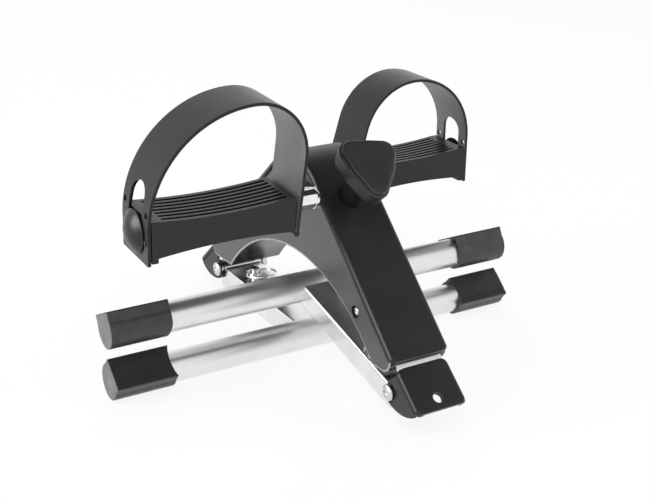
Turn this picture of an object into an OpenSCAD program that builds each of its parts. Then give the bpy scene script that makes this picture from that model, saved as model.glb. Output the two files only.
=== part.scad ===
// Folding pedal exerciser, modelled folded flat for storage.
// Right is +X, the back is +Y and up is +Z. The floor is Z = 0, under the lower pair of feet.
// Side outlines are drawn in a (Y, Z) plane whose Z is counted from the two hinge bolts.

/* [Stand] */
// Length across the feet
stand_w = 380; // [340:1:420]
// Outside diameter of the cross tubes
tube_d = 25.4; // [22:0.1:27]
// Wall of the cross tubes
tube_wall = 1.5; // [1:0.1:2.5]
// Distance of each hinge bolt from the middle
hinge_y = 146; // [140:0.5:155]
// Hinge bolt to cross tube centre
leg_len = 149; // [146:0.5:152]
// Width of a leg
leg_w = 38; // [34:0.5:38]
// Height of a leg
leg_h = 20.5; // [18:0.5:20.5]
// Wall of a leg
leg_wall = 1.6; // [1.2:0.1:2]
// Rise of the front leg from its hinge when folded
front_up = 12.6; // [12.4:0.1:13.5]
// Drop of the rear leg from its hinge when folded
rear_down = 4.1; // [4:0.1:5]
// Radius of a foot cap
foot_r = 15; // [14.6:0.1:15]
// Length of a foot cap
foot_len = 49; // [40:1:56]
// Width of a foot's flat pad
pad_w = 28; // [22:0.5:28.5]

/* [Body] */
// Width over the side shells
body_w = 52; // [50:0.5:54]
// Slope of the front arm
arm_slope = 43.8; // [43:0.1:44.5]
// Height over the hinges of the front arm's line at the middle
arm_apex = 178.4; // [177:0.2:180]
// How far the crown and the arch sit to the front
body_front = 7; // [5:0.5:8]
// Radius over the top of the body
crown_r = 49; // [46:1:54]
// Radius of the arch under the body
arch_r = 157; // [155:1:160]
// Height of the arch over the hinges
arch_top = 70.5; // [70:0.5:72]
// Radius of the rounded arm ends
arm_end_r = 12; // [11:0.5:13]
// Thickness of the plastic shells
shell = 2.5; // [2:0.1:3]
// Slope of the end brackets' outer faces
bracket_slope = 40; // [39:0.5:41]
// Width of an end bracket
bracket_w = 45.2; // [45:0.1:46]
// Hinge axis to the bracket's outer face
bracket_d = 23.8; // [23.6:0.1:24]

/* [Crank] */
// Height of the crank axle over the hinges
axle_z = 117.4; // [116:0.2:119]
// Crank length
crank_len = 64; // [60:0.5:66]
// Rise of the left crank, which points to the front
crank_rise = 14; // [12:0.5:16]
// Thickness of a crank
crank_t = 5; // [4:0.5:6]

/* [Pedals] */
// Inner end of a pedal, from the middle
pedal_in = 67; // [66:0.5:70]
// Length of a pedal block
pedal_len = 109.5; // [104:0.5:110]
// Depth of a pedal block
pedal_d = 46; // [42:1:48]
// Height of a pedal block
pedal_h = 28; // [26:0.5:29]
// Sag of the tread in the middle
tread_sag = 3; // [1:0.5:4]
// Rise of the underside in the middle
belly_rise = 3; // [1:0.5:4]
// Grooves in the tread
groove_n = 7; // [5:1:8]
// Forward tilt of the left pedal
left_tilt = 4.5; // [0:0.5:8]
// Forward tilt of the right pedal
right_tilt = 1.5; // [0:0.5:4]
// Width of a strap
strap_w = 45; // [38:1:46]
// Thickness of a strap
strap_t = 2.5; // [2:0.1:3]
// Height of the left strap over its pedal axle
left_strap_top = 90; // [84:0.5:92]
// Height of the right strap over its pedal axle
right_strap_top = 84.5; // [82:0.5:90]
// Highest point of the left strap, from the middle
left_apex_x = 100.5; // [98:0.5:104]
// Highest point of the right strap, from the middle
right_apex_x = 124; // [120:0.5:126]
// Inner shoulder of the left strap, from the middle
left_shoulder_x = 57.5; // [56:0.5:60]
// Inner shoulder of the right strap, from the middle
right_shoulder_x = 71; // [70:0.5:72]

/* [Tension knob] */
// Distance of the knob axis from the middle, measured at the arm's face
knob_y = 55; // [54:0.5:57]
// Knob face over the arm's face
knob_top = 46; // [44:0.5:48]
// Thickness of the knob's head
knob_t = 20; // [14:0.5:22]
// Radius of a knob lobe
lobe_r = 11; // [10:0.5:12]
// Turn of the knob as it stands
knob_turn = -9; // [-15:1:15]

/* [Hidden] */
$fn = 64;
// Radial play of a turning fit, air between neighbours and play of a seated face
fit = 0.05;
gap = 0.3;
seat = 0.02;
// How far joined shapes run into each other, and cutters past what they cut
lap = 0.5;
past = 1;
far = 220;

// Stand
tube_r = tube_d / 2;
pivot_down = 2.5;
tube_drop = 5.5;
leg_tilt = asin(tube_drop / leg_len);
tube_u = leg_len * cos(leg_tilt);
front_rise = front_up + leg_tilt;
rear_rise = leg_tilt - rear_down;
hinge_z = leg_len * sin(rear_down) + foot_r;
bolt_r = 4;
bolt_head_r = 6.5;
bolt_head_t = 3;
bolt_end = 5;
bolt_hex_r = 2.2;
bolt_hex_deep = 1.6;
hinge_nut_r = 6.8;
hinge_nut_t = 4.5;
sleeve_r = 8;
pad_d = 13.8;
pad_turn = 90 - bracket_slope;
end_wall = 3;
lock_u = 22;
park_u = 32;
pin_r = 3.9;
pin_head_r = 4;
pin_head_h = 6;
pin_flange = 1.5;
pin_tip = 1;
ring_play = 0.8;
ring_r = 14;
ring_wire = 1.2;
ring_lift = 3;
ring_tilt = 10;

// Body
half_w = body_w / 2;
panel_x = half_w - shell;
seam = 0.2;
cover_flange = 4.5;
arch_rim = 9;
cover_end = 2;
crown_c = [-body_front, arm_apex - body_front * tan(arm_slope) - crown_r / cos(arm_slope)];
arch_c = [-body_front, arch_top - arch_r];
arm_reach = 4;
arm_end_y = hinge_y + arm_reach;
arm_end_z = arm_apex - arm_end_y * tan(arm_slope);
arm_end_c = [arm_end_y, arm_end_z] - arm_end_r * [sin(arm_slope), cos(arm_slope)];
back_reach = arm_end_c - crown_c;
back_slope = asin((crown_r - arm_end_r) / norm(back_reach)) - atan2(back_reach[1], back_reach[0]);
arm_bottom = arm_end_c[1] - arm_end_r;
frame_inset = 6;
frame_t = 1.5;
tongue_lap = 5;
cheek_x = 17;
cheek_t = 3;
tongue_x = cheek_x + cheek_t;
screw_y = 102.5;
screw_z = 50.2;
screw_head_r = 4.4;
screw_r = 2;
screw_sunk = 0.5;
screw_hex_r = 1.8;
screw_hex_deep = 1.1;
screw_tip = 2;
boss_r = 5.5;
boss_end_x = 6;
bracket_t = 2.5;
bracket_x = bracket_w / 2 - bracket_t;
face_from = -7;
face_to = 31.1;
bracket_back = [[hinge_y - 3.5, 6.9], [hinge_y - 6, -6.6]];
bracket_belly_c = [hinge_y + 13.7, 23.1];
bracket_belly_r = 35.7;
belly_from = -123.6;
belly_to = -44;
lock_hole_r = 4.2;

// Crank and brake
axle_r = 8;
crank_in = 35;
crank_out = crank_in + crank_t;
crank_y = crank_len * cos(crank_rise);
crank_z = crank_len * sin(crank_rise);
crank_eye_r = 9;
crank_hub_r = 13;
crank_arm_w = 16;
crank_bolt_r = axle_r - 1;
crank_bolt_t = 3.5;
crank_hex_r = 3;
crank_hex_from = 1.2;
boss_play = 1;
bush_lap = 3;
bush_r = 13;
bush_out = 4;
drum_r = 22;
drum_x = 9;
band_in_r = 22.5;
band_out_r = 25.5;
band_x = 8;
band_eye_r = 5.5;
anchor_r = 3;
anchor_angle = 150;
anchor_reach = band_out_r + band_eye_r - past;
band_tail = 15;
spindle_r = 6;
spindle_end_r = 4;
spindle_collar_r = 8;
spindle_collar_x = 57;
spindle_tip = 2;

// Pedals
pedal_out = pedal_in + pedal_len;
plate_t = 4.7;
plate_x = pedal_out + plate_t;
plate_drop = 3.5;
groove_w = 2.6;
groove_deep = 4.5;
groove_step = 5.8;
tread_margin = 5;
tread_r = pow(pedal_len / 2, 2) / (2 * tread_sag);
belly_r = pow(pedal_len / 2, 2) / (2 * belly_rise);
strap_x = plate_x + 2 * gap + strap_t;
left_knee_x = 60.3;
right_knee_x = 64;
knee_z = 15;
strap_foot = [63.3, -15];
strap_end_z = -19;
lip_t = 3.2;
lip_w = 20;
lip_reach = 6;
lip_root = 0.7;
lip_in = 3;
slot_r = 11.5;
slot_top = 26;
peg_y = 18.5;
peg_z = [18, -2];
peg_r = 2.2;
peg_play = 0.2;
cap_r = 16.5;
cap_t = 7.2;
nut_r = 8;
nut_out = 1.6;

// Knob
knob_z = arm_apex - knob_y * tan(arm_slope);
hub_r = 7.5;
hub_from = 3.5;
knob_waist = 20.5;
waist_at = [0, 4.5];
lobe_at = [13, 13.5];
tail_at = [0, -16];
stud_in = 4;
stud_top = knob_top - knob_t + stud_in;
stud_r = 5;
stud_from = -40;
collar_r = 9;
collar_top = 2.5;
collar_root = 5;
flange_r = collar_r + 1.5;
flange_t = 1.2;
nut_z = -34;
nut_t = 8;
nut_size = [20, 16];

// Points along an arc
function arc(c, r, from, to, n) =
  [for (i = [0:n]) let (a = from + (to - from) * i / n) c + r * [cos(a), sin(a)]];

// Side outline of the body, drawn in by t all round
function arch_angle(t) = asin((arm_bottom + t - arch_c[1]) / (arch_r + t));
function body_outline(t) = concat(
  arc([-arm_end_c[0], arm_end_c[1]], arm_end_r - t, 90 + arm_slope, 270, 10),
  arc(arch_c, arch_r + t, 180 - arch_angle(t), arch_angle(t), 40),
  arc(arm_end_c, arm_end_r - t, -90, 90 - back_slope, 10),
  arc(crown_c, crown_r - t, 90 - back_slope, 90 + arm_slope, 20)
);

// A point of the rear bracket, u along its outer face and d out from the hinge
function bracket_at(u, d) = [hinge_y, 0] + u * [cos(bracket_slope), -sin(bracket_slope)]
  + d * [sin(bracket_slope), cos(bracket_slope)];

// Lays a (Y, Z) outline across the part from x0 to x1
module across(x0, x1) {
  translate([x0, 0, 0]) rotate([90, 0, 90]) linear_extrude(x1 - x0) children();
}

// A round bar along X
module bar(r, x0, x1) {
  translate([x0, 0, 0]) rotate([0, 90, 0]) cylinder(r = r, h = x1 - x0);
}

module at_hinge_level() {
  translate([0, 0, hinge_z]) children();
}

module mirrored(side) {
  if (side > 0) children();
  else mirror([1, 0, 0]) children();
}

// Frame of a leg: Y runs along the leg from the hinge bolt, Z is up when folded
module front_stand() {
  translate([0, -hinge_y, hinge_z]) rotate([front_rise, 0, 0]) children();
}

module rear_stand() {
  mirror([0, 1, 0]) translate([0, -hinge_y, hinge_z]) rotate([rear_rise, 0, 0]) children();
}

// Body shells
module outer_zone(grow) {
  difference() {
    translate([-far, arm_end_c[1] + cover_end - grow]) square(2 * far);
    translate(arch_c) circle(arch_r + arch_rim - grow, $fn = 180);
  }
}

module outline_ring(t0, t1) {
  difference() {
    polygon(body_outline(t0));
    polygon(body_outline(t1));
  }
}

// The part of the outline's edge that the cover takes, to a depth
module cover_zone(depth, grow) {
  intersection() {
    difference() {
      polygon(body_outline(-past));
      polygon(body_outline(depth));
    }
    outer_zone(grow);
  }
}

module at_screws() {
  for (side = [-1, 1]) translate([0, side * screw_y, screw_z]) children();
}

module side_shell_solid() {
  difference() {
    union() {
      across(panel_x, half_w) difference() {
        polygon(body_outline(0));
        cover_zone(cover_flange + gap, gap);
      }
      across(seam / 2, half_w) difference() {
        outline_ring(0, shell);
        outer_zone(gap);
      }
      at_screws() bar(boss_r, boss_end_x, panel_x + lap);
    }
    translate([0, 0, axle_z]) bar(bush_r + gap, 0, half_w + past);
    frame_tongues(tongue_x + gap, gap);
    at_screws() {
      bar(screw_r + seat, boss_end_x - past, half_w);
      bar(screw_head_r + seam, panel_x, half_w + past);
    }
  }
}

module left_side_shell() {
  color("#3a3b3d") at_hinge_level() mirrored(-1) side_shell_solid();
}

module right_side_shell() {
  color("#3a3b3d") at_hinge_level() side_shell_solid();
}

module top_cover() {
  color("#2f3032") at_hinge_level() difference() {
    union() {
      across(-half_w, half_w) cover_edge(shell);
      for (side = [-1, 1]) mirrored(side) across(panel_x, half_w) cover_edge(cover_flange);
    }
    at_knob() cylinder(r = collar_r + seat, h = 2 * half_w, center = true);
  }
}

module cover_edge(depth) {
  intersection() {
    polygon(body_outline(0));
    cover_zone(depth, 0);
  }
}

module casing_screws() {
  color("silver") at_hinge_level() for (side = [-1, 1]) mirrored(side) at_screws() difference() {
    union() {
      bar(screw_head_r, panel_x + seat, half_w - screw_sunk);
      bar(screw_r, boss_end_x + screw_tip, panel_x + lap);
    }
    bar(screw_hex_r, half_w - screw_sunk - screw_hex_deep, half_w, $fn = 6);
  }
}

// Steel frame inside the body, with a tongue that reaches into each end bracket
function tongue_outline(slope, room) =
  let (
    along = [cos(slope), -sin(slope)],
    out = [sin(slope), cos(slope)],
    root = arm_end_c + (arm_end_r - frame_inset) * out - tongue_lap * along,
    inside = bracket_d - bracket_t,
    bend = face_from - gap
  )
  [
    root + room * out, bracket_at(bend, inside + room), bracket_at(tongue_lap, inside + room),
    bracket_at(tongue_lap, inside - frame_t - room), bracket_at(bend, inside - frame_t - room),
    root - (frame_t + room) * out
  ];

module frame_tongues(half, room) {
  across(-half, half) polygon(tongue_outline(back_slope, room));
  mirror([0, 1, 0]) across(-half, half) polygon(tongue_outline(arm_slope, room));
}

module inner_frame() {
  color("gainsboro") at_hinge_level() difference() {
    union() {
      for (side = [-1, 1])
        mirrored(side) across(cheek_x, cheek_x + cheek_t) polygon(body_outline(frame_inset));
      across(-cheek_x - lap, cheek_x + lap) intersection() {
        outline_ring(frame_inset, frame_inset + frame_t);
        outer_zone(0);
      }
      frame_tongues(tongue_x, 0);
    }
    translate([0, 0, axle_z]) bar(bush_r + seat, -half_w, half_w);
    at_screws() bar(boss_r + boss_play, -half_w, half_w);
    at_anchor() bar(anchor_r + seat, -half_w, half_w);
    at_knob() cylinder(r = collar_r + boss_play, h = half_w, center = true);
  }
}

module axle_bush_solid() {
  at_hinge_level() translate([0, 0, axle_z]) difference() {
    bar(bush_r, cheek_x - bush_lap, half_w + bush_out);
    bar(axle_r + fit, 0, 2 * half_w);
  }
}

module left_axle_bush() {
  color("dimgray") mirrored(-1) axle_bush_solid();
}

module right_axle_bush() {
  color("dimgray") axle_bush_solid();
}

// End brackets and hinges, drawn at the rear
module bracket_side() {
  polygon(concat(
    [bracket_at(face_from, bracket_d)],
    bracket_back,
    arc(bracket_belly_c, bracket_belly_r, belly_from, belly_to, 16),
    [bracket_at(face_to, bracket_d)]
  ));
}

module bracket_solid() {
  difference() {
    union() {
      for (side = [-1, 1]) mirrored(side) across(bracket_x, bracket_w / 2) bracket_side();
      across(-bracket_x - lap, bracket_x + lap) polygon([
        bracket_at(face_from, bracket_d), bracket_at(face_to, bracket_d),
        bracket_at(face_to, bracket_d - bracket_t), bracket_at(face_from, bracket_d - bracket_t)
      ]);
    }
    translate([0, hinge_y, 0]) bar(bolt_r + seat, -bracket_w, bracket_w);
    translate([0, hinge_y, 0]) rotate([-bracket_slope, 0, 0]) translate([0, lock_u, 0])
      cylinder(r = lock_hole_r, h = 2 * bracket_d);
  }
}

module rear_bracket() {
  color("#2f3032") at_hinge_level() bracket_solid();
}

module front_bracket() {
  color("#2f3032") at_hinge_level() mirror([0, 1, 0]) bracket_solid();
}

module hinge_bolt_solid() {
  translate([0, hinge_y, 0]) difference() {
    union() {
      bar(bolt_r, -bracket_w / 2 - lap, bracket_w / 2 + bolt_end);
      bar(bolt_head_r, -bracket_w / 2 - bolt_head_t, -bracket_w / 2 - seat);
    }
    translate([-bracket_w / 2 - bolt_head_t, 0, 0]) bar(bolt_hex_r, -past, bolt_hex_deep, $fn = 6);
  }
}

module rear_hinge_bolt() {
  color("silver") at_hinge_level() hinge_bolt_solid();
}

module front_hinge_bolt() {
  color("silver") at_hinge_level() mirror([0, 1, 0]) hinge_bolt_solid();
}

module hinge_nut_solid() {
  translate([0, hinge_y, 0]) difference() {
    bar(hinge_nut_r, bracket_w / 2 + seat, bracket_w / 2 + hinge_nut_t, $fn = 6);
    bar(bolt_r + seat, 0, bracket_w);
  }
}

module rear_hinge_nut() {
  color("silver") at_hinge_level() hinge_nut_solid();
}

module front_hinge_nut() {
  color("silver") at_hinge_level() mirror([0, 1, 0]) hinge_nut_solid();
}

// Legs and feet, drawn in the frame of a leg
module leg_solid() {
  difference() {
    union() {
      translate([-leg_w / 2, 0, pivot_down - leg_h]) cube([leg_w, tube_u, leg_h]);
      bar(sleeve_r, -leg_w / 2, leg_w / 2);
    }
    difference() {
      translate([-leg_w / 2 + leg_wall, -past, pivot_down - leg_h + leg_wall])
        cube([leg_w - 2 * leg_wall, tube_u + 2 * past, leg_h - 2 * leg_wall]);
      bar(sleeve_r, -leg_w, leg_w);
    }
    bar(bolt_r + fit, -leg_w, leg_w);
    translate([0, tube_u, -tube_drop]) bar(tube_r + seat, -leg_w, leg_w);
    for (u = [lock_u, park_u]) translate([0, u, -leg_h]) cylinder(r = pin_r + fit, h = 2 * leg_h);
  }
}

module cross_tube_solid() {
  half = stand_w / 2 - end_wall - seat;
  translate([0, tube_u, -tube_drop]) difference() {
    bar(tube_r, -half, half);
    bar(tube_r - tube_wall, -half - past, half + past);
  }
}

module foot_solid() {
  translate([0, tube_u, -tube_drop]) rotate([pad_turn - 90, 0, 0]) difference() {
    union() {
      intersection() {
        bar(foot_r, stand_w / 2 - foot_len, stand_w / 2);
        translate([0, -foot_r, -foot_r]) cube([stand_w, 2 * foot_r, foot_r + pad_d]);
      }
      translate([stand_w / 2 - foot_len, -pad_w / 2, 0]) cube([foot_len, pad_w, pad_d]);
    }
    bar(tube_r + seat, 0, stand_w / 2 - end_wall);
  }
}

module front_leg() {
  color("gainsboro") front_stand() leg_solid();
}

module rear_leg() {
  color("gainsboro") rear_stand() leg_solid();
}

module front_cross_tube() {
  color("silver") front_stand() cross_tube_solid();
}

module rear_cross_tube() {
  color("silver") rear_stand() cross_tube_solid();
}

module front_left_foot() {
  color("#262626") front_stand() mirrored(-1) foot_solid();
}

module front_right_foot() {
  color("#262626") front_stand() foot_solid();
}

module rear_left_foot() {
  color("#262626") rear_stand() mirrored(-1) foot_solid();
}

module rear_right_foot() {
  color("#262626") rear_stand() foot_solid();
}

module lock_pin_solid() {
  translate([0, park_u, 0]) difference() {
    union() {
      translate([0, 0, pivot_down - leg_h - pin_tip]) cylinder(r = pin_r, h = leg_h + pin_tip + past);
      translate([0, 0, pivot_down + seat]) cylinder(r = pin_head_r + pin_flange, h = pin_flange);
      translate([0, 0, pivot_down + past]) cylinder(r = pin_head_r, h = pin_head_h - past);
    }
    translate([0, 0, pivot_down + ring_lift]) bar(ring_wire + ring_play, -ring_r, ring_r);
  }
}

module pin_ring_solid() {
  translate([0, park_u, pivot_down + ring_lift]) rotate([ring_tilt, 0, 0]) translate([0, ring_r, 0])
    rotate_extrude() translate([ring_r, 0]) circle(ring_wire);
}

module front_lock_pin() {
  color("silver") front_stand() lock_pin_solid();
}

module rear_lock_pin() {
  color("silver") rear_stand() lock_pin_solid();
}

module front_pin_ring() {
  color("silver") front_stand() pin_ring_solid();
}

module rear_pin_ring() {
  color("silver") rear_stand() pin_ring_solid();
}

// Crank, brake and pedal spindles
module at_axle() {
  translate([0, 0, hinge_z + axle_z]) children();
}

module crank_axle() {
  color("silver") at_axle() bar(axle_r, -crank_out, crank_out);
}

module brake_drum() {
  color("gray") at_axle() difference() {
    bar(drum_r, -drum_x, drum_x);
    bar(axle_r + seat, -drum_x - past, drum_x + past);
  }
}

module at_anchor() {
  translate([0, 0, axle_z]) rotate([anchor_angle, 0, 0]) translate([0, anchor_reach, 0]) children();
}

module brake_band() {
  color("saddlebrown") at_hinge_level() difference() {
    union() {
      translate([0, 0, axle_z]) difference() {
        bar(band_out_r, -band_x, band_x);
        rotate([anchor_angle + band_tail, 0, 0]) translate([-half_w, 0, 0]) cube(2 * half_w);
      }
      at_anchor() bar(band_eye_r, -band_x, band_x);
    }
    translate([0, 0, axle_z]) bar(band_in_r, -half_w, half_w);
    at_anchor() bar(anchor_r + seat, -half_w, half_w);
  }
}

module band_anchor_pin() {
  color("silver") at_hinge_level() at_anchor() bar(anchor_r, -cheek_x - cheek_t, cheek_x + cheek_t);
}

// The right crank points to the back and down, the left one to the front and up
module crank_solid() {
  difference() {
    union() {
      bar(crank_hub_r, crank_in, crank_out);
      translate([0, crank_y, -crank_z]) bar(crank_eye_r, crank_in, crank_out);
      rotate([-crank_rise, 0, 0])
        translate([crank_in, 0, -crank_arm_w / 2]) cube([crank_t, crank_len, crank_arm_w]);
    }
    bar(axle_r + seat, 0, 2 * crank_out);
    translate([0, crank_y, -crank_z]) bar(spindle_end_r + seat, 0, 2 * crank_out);
  }
}

module left_side() {
  rotate([180, 0, 0]) mirror([1, 0, 0]) children();
}

module right_crank() {
  color("lightgray") at_axle() crank_solid();
}

module left_crank() {
  color("lightgray") at_axle() left_side() crank_solid();
}

module crank_bolt_solid() {
  difference() {
    bar(crank_bolt_r, crank_out + seat, crank_out + crank_bolt_t);
    bar(crank_hex_r, crank_out + crank_hex_from, crank_out + 2 * crank_bolt_t, $fn = 6);
  }
}

module right_crank_bolt() {
  color("silver") at_axle() crank_bolt_solid();
}

module left_crank_bolt() {
  color("silver") at_axle() mirror([1, 0, 0]) crank_bolt_solid();
}

module spindle_solid() {
  bar(spindle_end_r, crank_in, crank_out + past);
  bar(spindle_r, crank_out + seat, pedal_out);
  bar(spindle_collar_r, crank_out + seat, spindle_collar_x);
  bar(spindle_end_r, pedal_out - past, plate_x + spindle_tip);
}

module spindle_nut_solid() {
  difference() {
    bar(nut_r, pedal_out + seat, plate_x + nut_out, $fn = 6);
    bar(spindle_end_r + seat, 0, 2 * plate_x);
  }
}

module at_right_pedal() {
  at_axle() translate([0, crank_y, -crank_z]) children();
}

module at_left_pedal() {
  at_axle() translate([0, -crank_y, crank_z]) mirror([1, 0, 0]) children();
}

module right_pedal_spindle() {
  color("silver") at_right_pedal() spindle_solid();
}

module left_pedal_spindle() {
  color("silver") at_left_pedal() spindle_solid();
}

module right_spindle_nut() {
  color("silver") at_right_pedal() spindle_nut_solid();
}

module left_spindle_nut() {
  color("silver") at_left_pedal() spindle_nut_solid();
}

// Pedals, drawn on the right with the pedal axle along X
module tread_grooves() {
  first_y = -groove_step * (groove_n - 1) / 2 - groove_w / 2;
  floor_z = pedal_h / 2 - groove_deep - tread_sag;
  for (i = [0:groove_n - 1])
    translate([pedal_in + tread_margin, first_y + i * groove_step, floor_z])
      cube([pedal_len - 2 * tread_margin, groove_w, pedal_h]);
}

module pedal_solid() {
  lip_z = strap_foot[1] - seat - lip_t;
  difference() {
    union() {
      difference() {
        translate([pedal_in, -pedal_d / 2, -pedal_h / 2]) cube([pedal_len, pedal_d, pedal_h]);
        translate([pedal_in + pedal_len / 2, -pedal_d, belly_rise - pedal_h / 2 - belly_r])
          rotate([-90, 0, 0]) cylinder(r = belly_r, h = 2 * pedal_d, $fn = 360);
      }
      translate([pedal_out - lap, -pedal_d / 2, -pedal_h / 2 - plate_drop])
        cube([plate_t + lap, pedal_d, pedal_h + plate_drop]);
      translate([pedal_in - lip_reach, -lip_w / 2, lip_z]) cube([lip_reach + lip_in, lip_w, lip_t]);
      translate([pedal_in - lip_root, -lip_w / 2, lip_z]) cube([lip_root + lip_in, lip_w, lip_t + lip_in]);
      for (y = [-peg_y, peg_y]) translate([0, y, peg_z[1]]) bar(peg_r, plate_x - past, strap_x + past);
    }
    translate([pedal_in + pedal_len / 2, -pedal_d, pedal_h / 2 - tread_sag + tread_r])
      rotate([-90, 0, 0]) cylinder(r = tread_r, h = 2 * pedal_d, $fn = 360);
    tread_grooves();
    bar(spindle_r + fit, 0, pedal_out + seat);
    bar(nut_r + past, pedal_out, plate_x + past);
  }
}

// A strap from its outer end over the top to its inner foot, drawn on the right
function strap_outline(apex, shoulder, top, knee) =
  let (
    out_r = strap_x - apex,
    in_r = apex - shoulder,
    out_c = [apex, top - out_r],
    in_c = [apex, top - in_r],
    reach = knee - in_c,
    turn = 360 + atan2(reach[1], reach[0]) - acos(in_r / norm(reach)),
    inward = -strap_t * [cos(turn), sin(turn)]
  )
  concat(
    [[strap_x, strap_end_z]],
    arc(out_c, out_r, 0, 90, 24),
    arc(in_c, in_r, 90, turn, 20),
    [knee, strap_foot, strap_foot + [strap_t, 0], knee + [strap_t, inward[1] / 2]],
    arc(in_c, in_r - strap_t, turn, 90, 20),
    arc(out_c, out_r - strap_t, 90, 0, 24),
    [[strap_x - strap_t, strap_end_z]]
  );

module strap_solid(outline) {
  slot_from = pedal_out - slot_r;
  difference() {
    translate([0, strap_w / 2, 0]) rotate([90, 0, 0]) linear_extrude(strap_w) polygon(outline);
    for (z = [0, slot_top]) translate([0, 0, z]) bar(slot_r, slot_from, strap_x + past);
    translate([slot_from, -slot_r, 0]) cube([strap_x + past - slot_from, 2 * slot_r, slot_top]);
    for (y = [-peg_y, peg_y], z = peg_z)
      translate([0, y, z]) bar(peg_r + peg_play, slot_from, strap_x + past);
    bar(spindle_r + past, 0, pedal_in);
  }
}

module pedal_cap_solid() {
  dome_r = (pow(cap_r, 2) + pow(cap_t, 2)) / (2 * cap_t);
  difference() {
    union() {
      translate([strap_x + gap, 0, 0]) rotate([0, 90, 0]) rotate_extrude() intersection() {
        translate([0, cap_t - dome_r]) circle(dome_r, $fn = 180);
        square([cap_r, cap_t]);
      }
      bar(slot_r - lap, plate_x + seat, strap_x + gap + past);
    }
    bar(nut_r + past, 0, strap_x + gap + 2 * past);
  }
}

module right_pedal() {
  color("#2b2b2c") at_right_pedal() rotate([right_tilt, 0, 0]) pedal_solid();
}

module left_pedal() {
  color("#2b2b2c") at_left_pedal() rotate([left_tilt, 0, 0]) pedal_solid();
}

module right_strap() {
  color("#333334") at_right_pedal() rotate([right_tilt, 0, 0])
    strap_solid(strap_outline(right_apex_x, right_shoulder_x, right_strap_top, [right_knee_x, knee_z]));
}

module left_strap() {
  color("#333334") at_left_pedal() rotate([left_tilt, 0, 0])
    strap_solid(strap_outline(left_apex_x, left_shoulder_x, left_strap_top, [left_knee_x, knee_z]));
}

module right_pedal_cap() {
  color("#2b2b2c") at_right_pedal() rotate([right_tilt, 0, 0]) pedal_cap_solid();
}

module left_pedal_cap() {
  color("#2b2b2c") at_left_pedal() rotate([left_tilt, 0, 0]) pedal_cap_solid();
}

// Tension knob, with Z along its axis and 0 at the front arm's face
module at_knob() {
  translate([0, -knob_y, knob_z]) rotate([arm_slope, 0, 0]) children();
}

module knob_outline() {
  hull() {
    for (side = [-1, 1]) translate([side * lobe_at[0], lobe_at[1]]) circle(lobe_r, $fn = 32);
    translate(tail_at) circle(lobe_r - past, $fn = 32);
    translate(waist_at) circle(knob_waist, $fn = 48);
  }
}

module tension_knob() {
  color("#363738") at_hinge_level() at_knob() difference() {
    union() {
      translate([0, 0, knob_top - knob_t]) rotate([0, 0, knob_turn]) linear_extrude(knob_t) knob_outline();
      translate([0, 0, hub_from]) cylinder(r = hub_r, h = knob_top - knob_t - hub_from + past);
    }
    cylinder(r = stud_r + seat, h = stud_top);
  }
}

module tension_screw() {
  color("silver") at_hinge_level() at_knob() translate([0, 0, stud_from])
    cylinder(r = stud_r, h = stud_top - stud_from);
}

module tension_collar() {
  color("#2f3032") at_hinge_level() at_knob() difference() {
    union() {
      translate([0, 0, -collar_root]) cylinder(r = collar_r, h = collar_top + collar_root);
      translate([0, 0, seat]) cylinder(r = flange_r, h = flange_t);
    }
    cylinder(r = stud_r + fit, h = 2 * half_w, center = true);
  }
}

module tension_nut() {
  color("goldenrod") at_hinge_level() at_knob() translate([0, 0, nut_z]) difference() {
    translate(-[nut_size[0], nut_size[1], 0] / 2) cube([nut_size[0], nut_size[1], nut_t]);
    translate([0, 0, -past]) cylinder(r = stud_r + fit, h = nut_t + 2 * past);
  }
}

left_side_shell();
right_side_shell();
top_cover();
inner_frame();
left_axle_bush();
right_axle_bush();
casing_screws();
tension_collar();
brake_band();
band_anchor_pin();
front_bracket();
rear_bracket();
front_hinge_bolt();
rear_hinge_bolt();
front_hinge_nut();
rear_hinge_nut();
front_leg();
front_cross_tube();
front_left_foot();
front_right_foot();
rear_leg();
rear_cross_tube();
rear_left_foot();
rear_right_foot();
front_lock_pin();
front_pin_ring();
rear_lock_pin();
rear_pin_ring();
crank_axle();
brake_drum();
left_crank();
right_crank();
left_crank_bolt();
right_crank_bolt();
left_pedal_spindle();
right_pedal_spindle();
left_spindle_nut();
right_spindle_nut();
left_pedal();
left_strap();
left_pedal_cap();
right_pedal();
right_strap();
right_pedal_cap();
tension_knob();
tension_screw();
tension_nut();
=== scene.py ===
"""Folding pedal exerciser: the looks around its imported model, laid out as an add-on."""

import math

import bmesh
import bpy
from bpy.props import FloatProperty, FloatVectorProperty, PointerProperty
from mathutils import Euler, Matrix, Vector


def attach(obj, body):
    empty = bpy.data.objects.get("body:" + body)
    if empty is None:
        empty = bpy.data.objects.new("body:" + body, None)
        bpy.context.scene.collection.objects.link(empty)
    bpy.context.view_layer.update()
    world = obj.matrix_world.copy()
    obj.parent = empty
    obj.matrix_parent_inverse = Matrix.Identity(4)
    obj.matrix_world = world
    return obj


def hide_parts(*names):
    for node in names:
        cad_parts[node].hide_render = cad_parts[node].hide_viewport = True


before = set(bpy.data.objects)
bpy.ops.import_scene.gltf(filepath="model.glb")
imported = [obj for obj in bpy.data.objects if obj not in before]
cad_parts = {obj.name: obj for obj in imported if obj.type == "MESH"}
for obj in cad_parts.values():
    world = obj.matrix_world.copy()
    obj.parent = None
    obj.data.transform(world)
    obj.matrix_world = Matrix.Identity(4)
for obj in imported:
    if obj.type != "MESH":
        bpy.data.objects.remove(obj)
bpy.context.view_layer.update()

bl_info = {
    "name": "Folding pedal exerciser",
    "version": (1, 0, 0),
    "blender": (4, 5, 0),
    "location": "3D View > Sidebar > Exerciser",
    "description": "Dresses the exerciser's solids with moulded, plated and rubber pieces",
    "category": "Object",
}


# Properties


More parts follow.
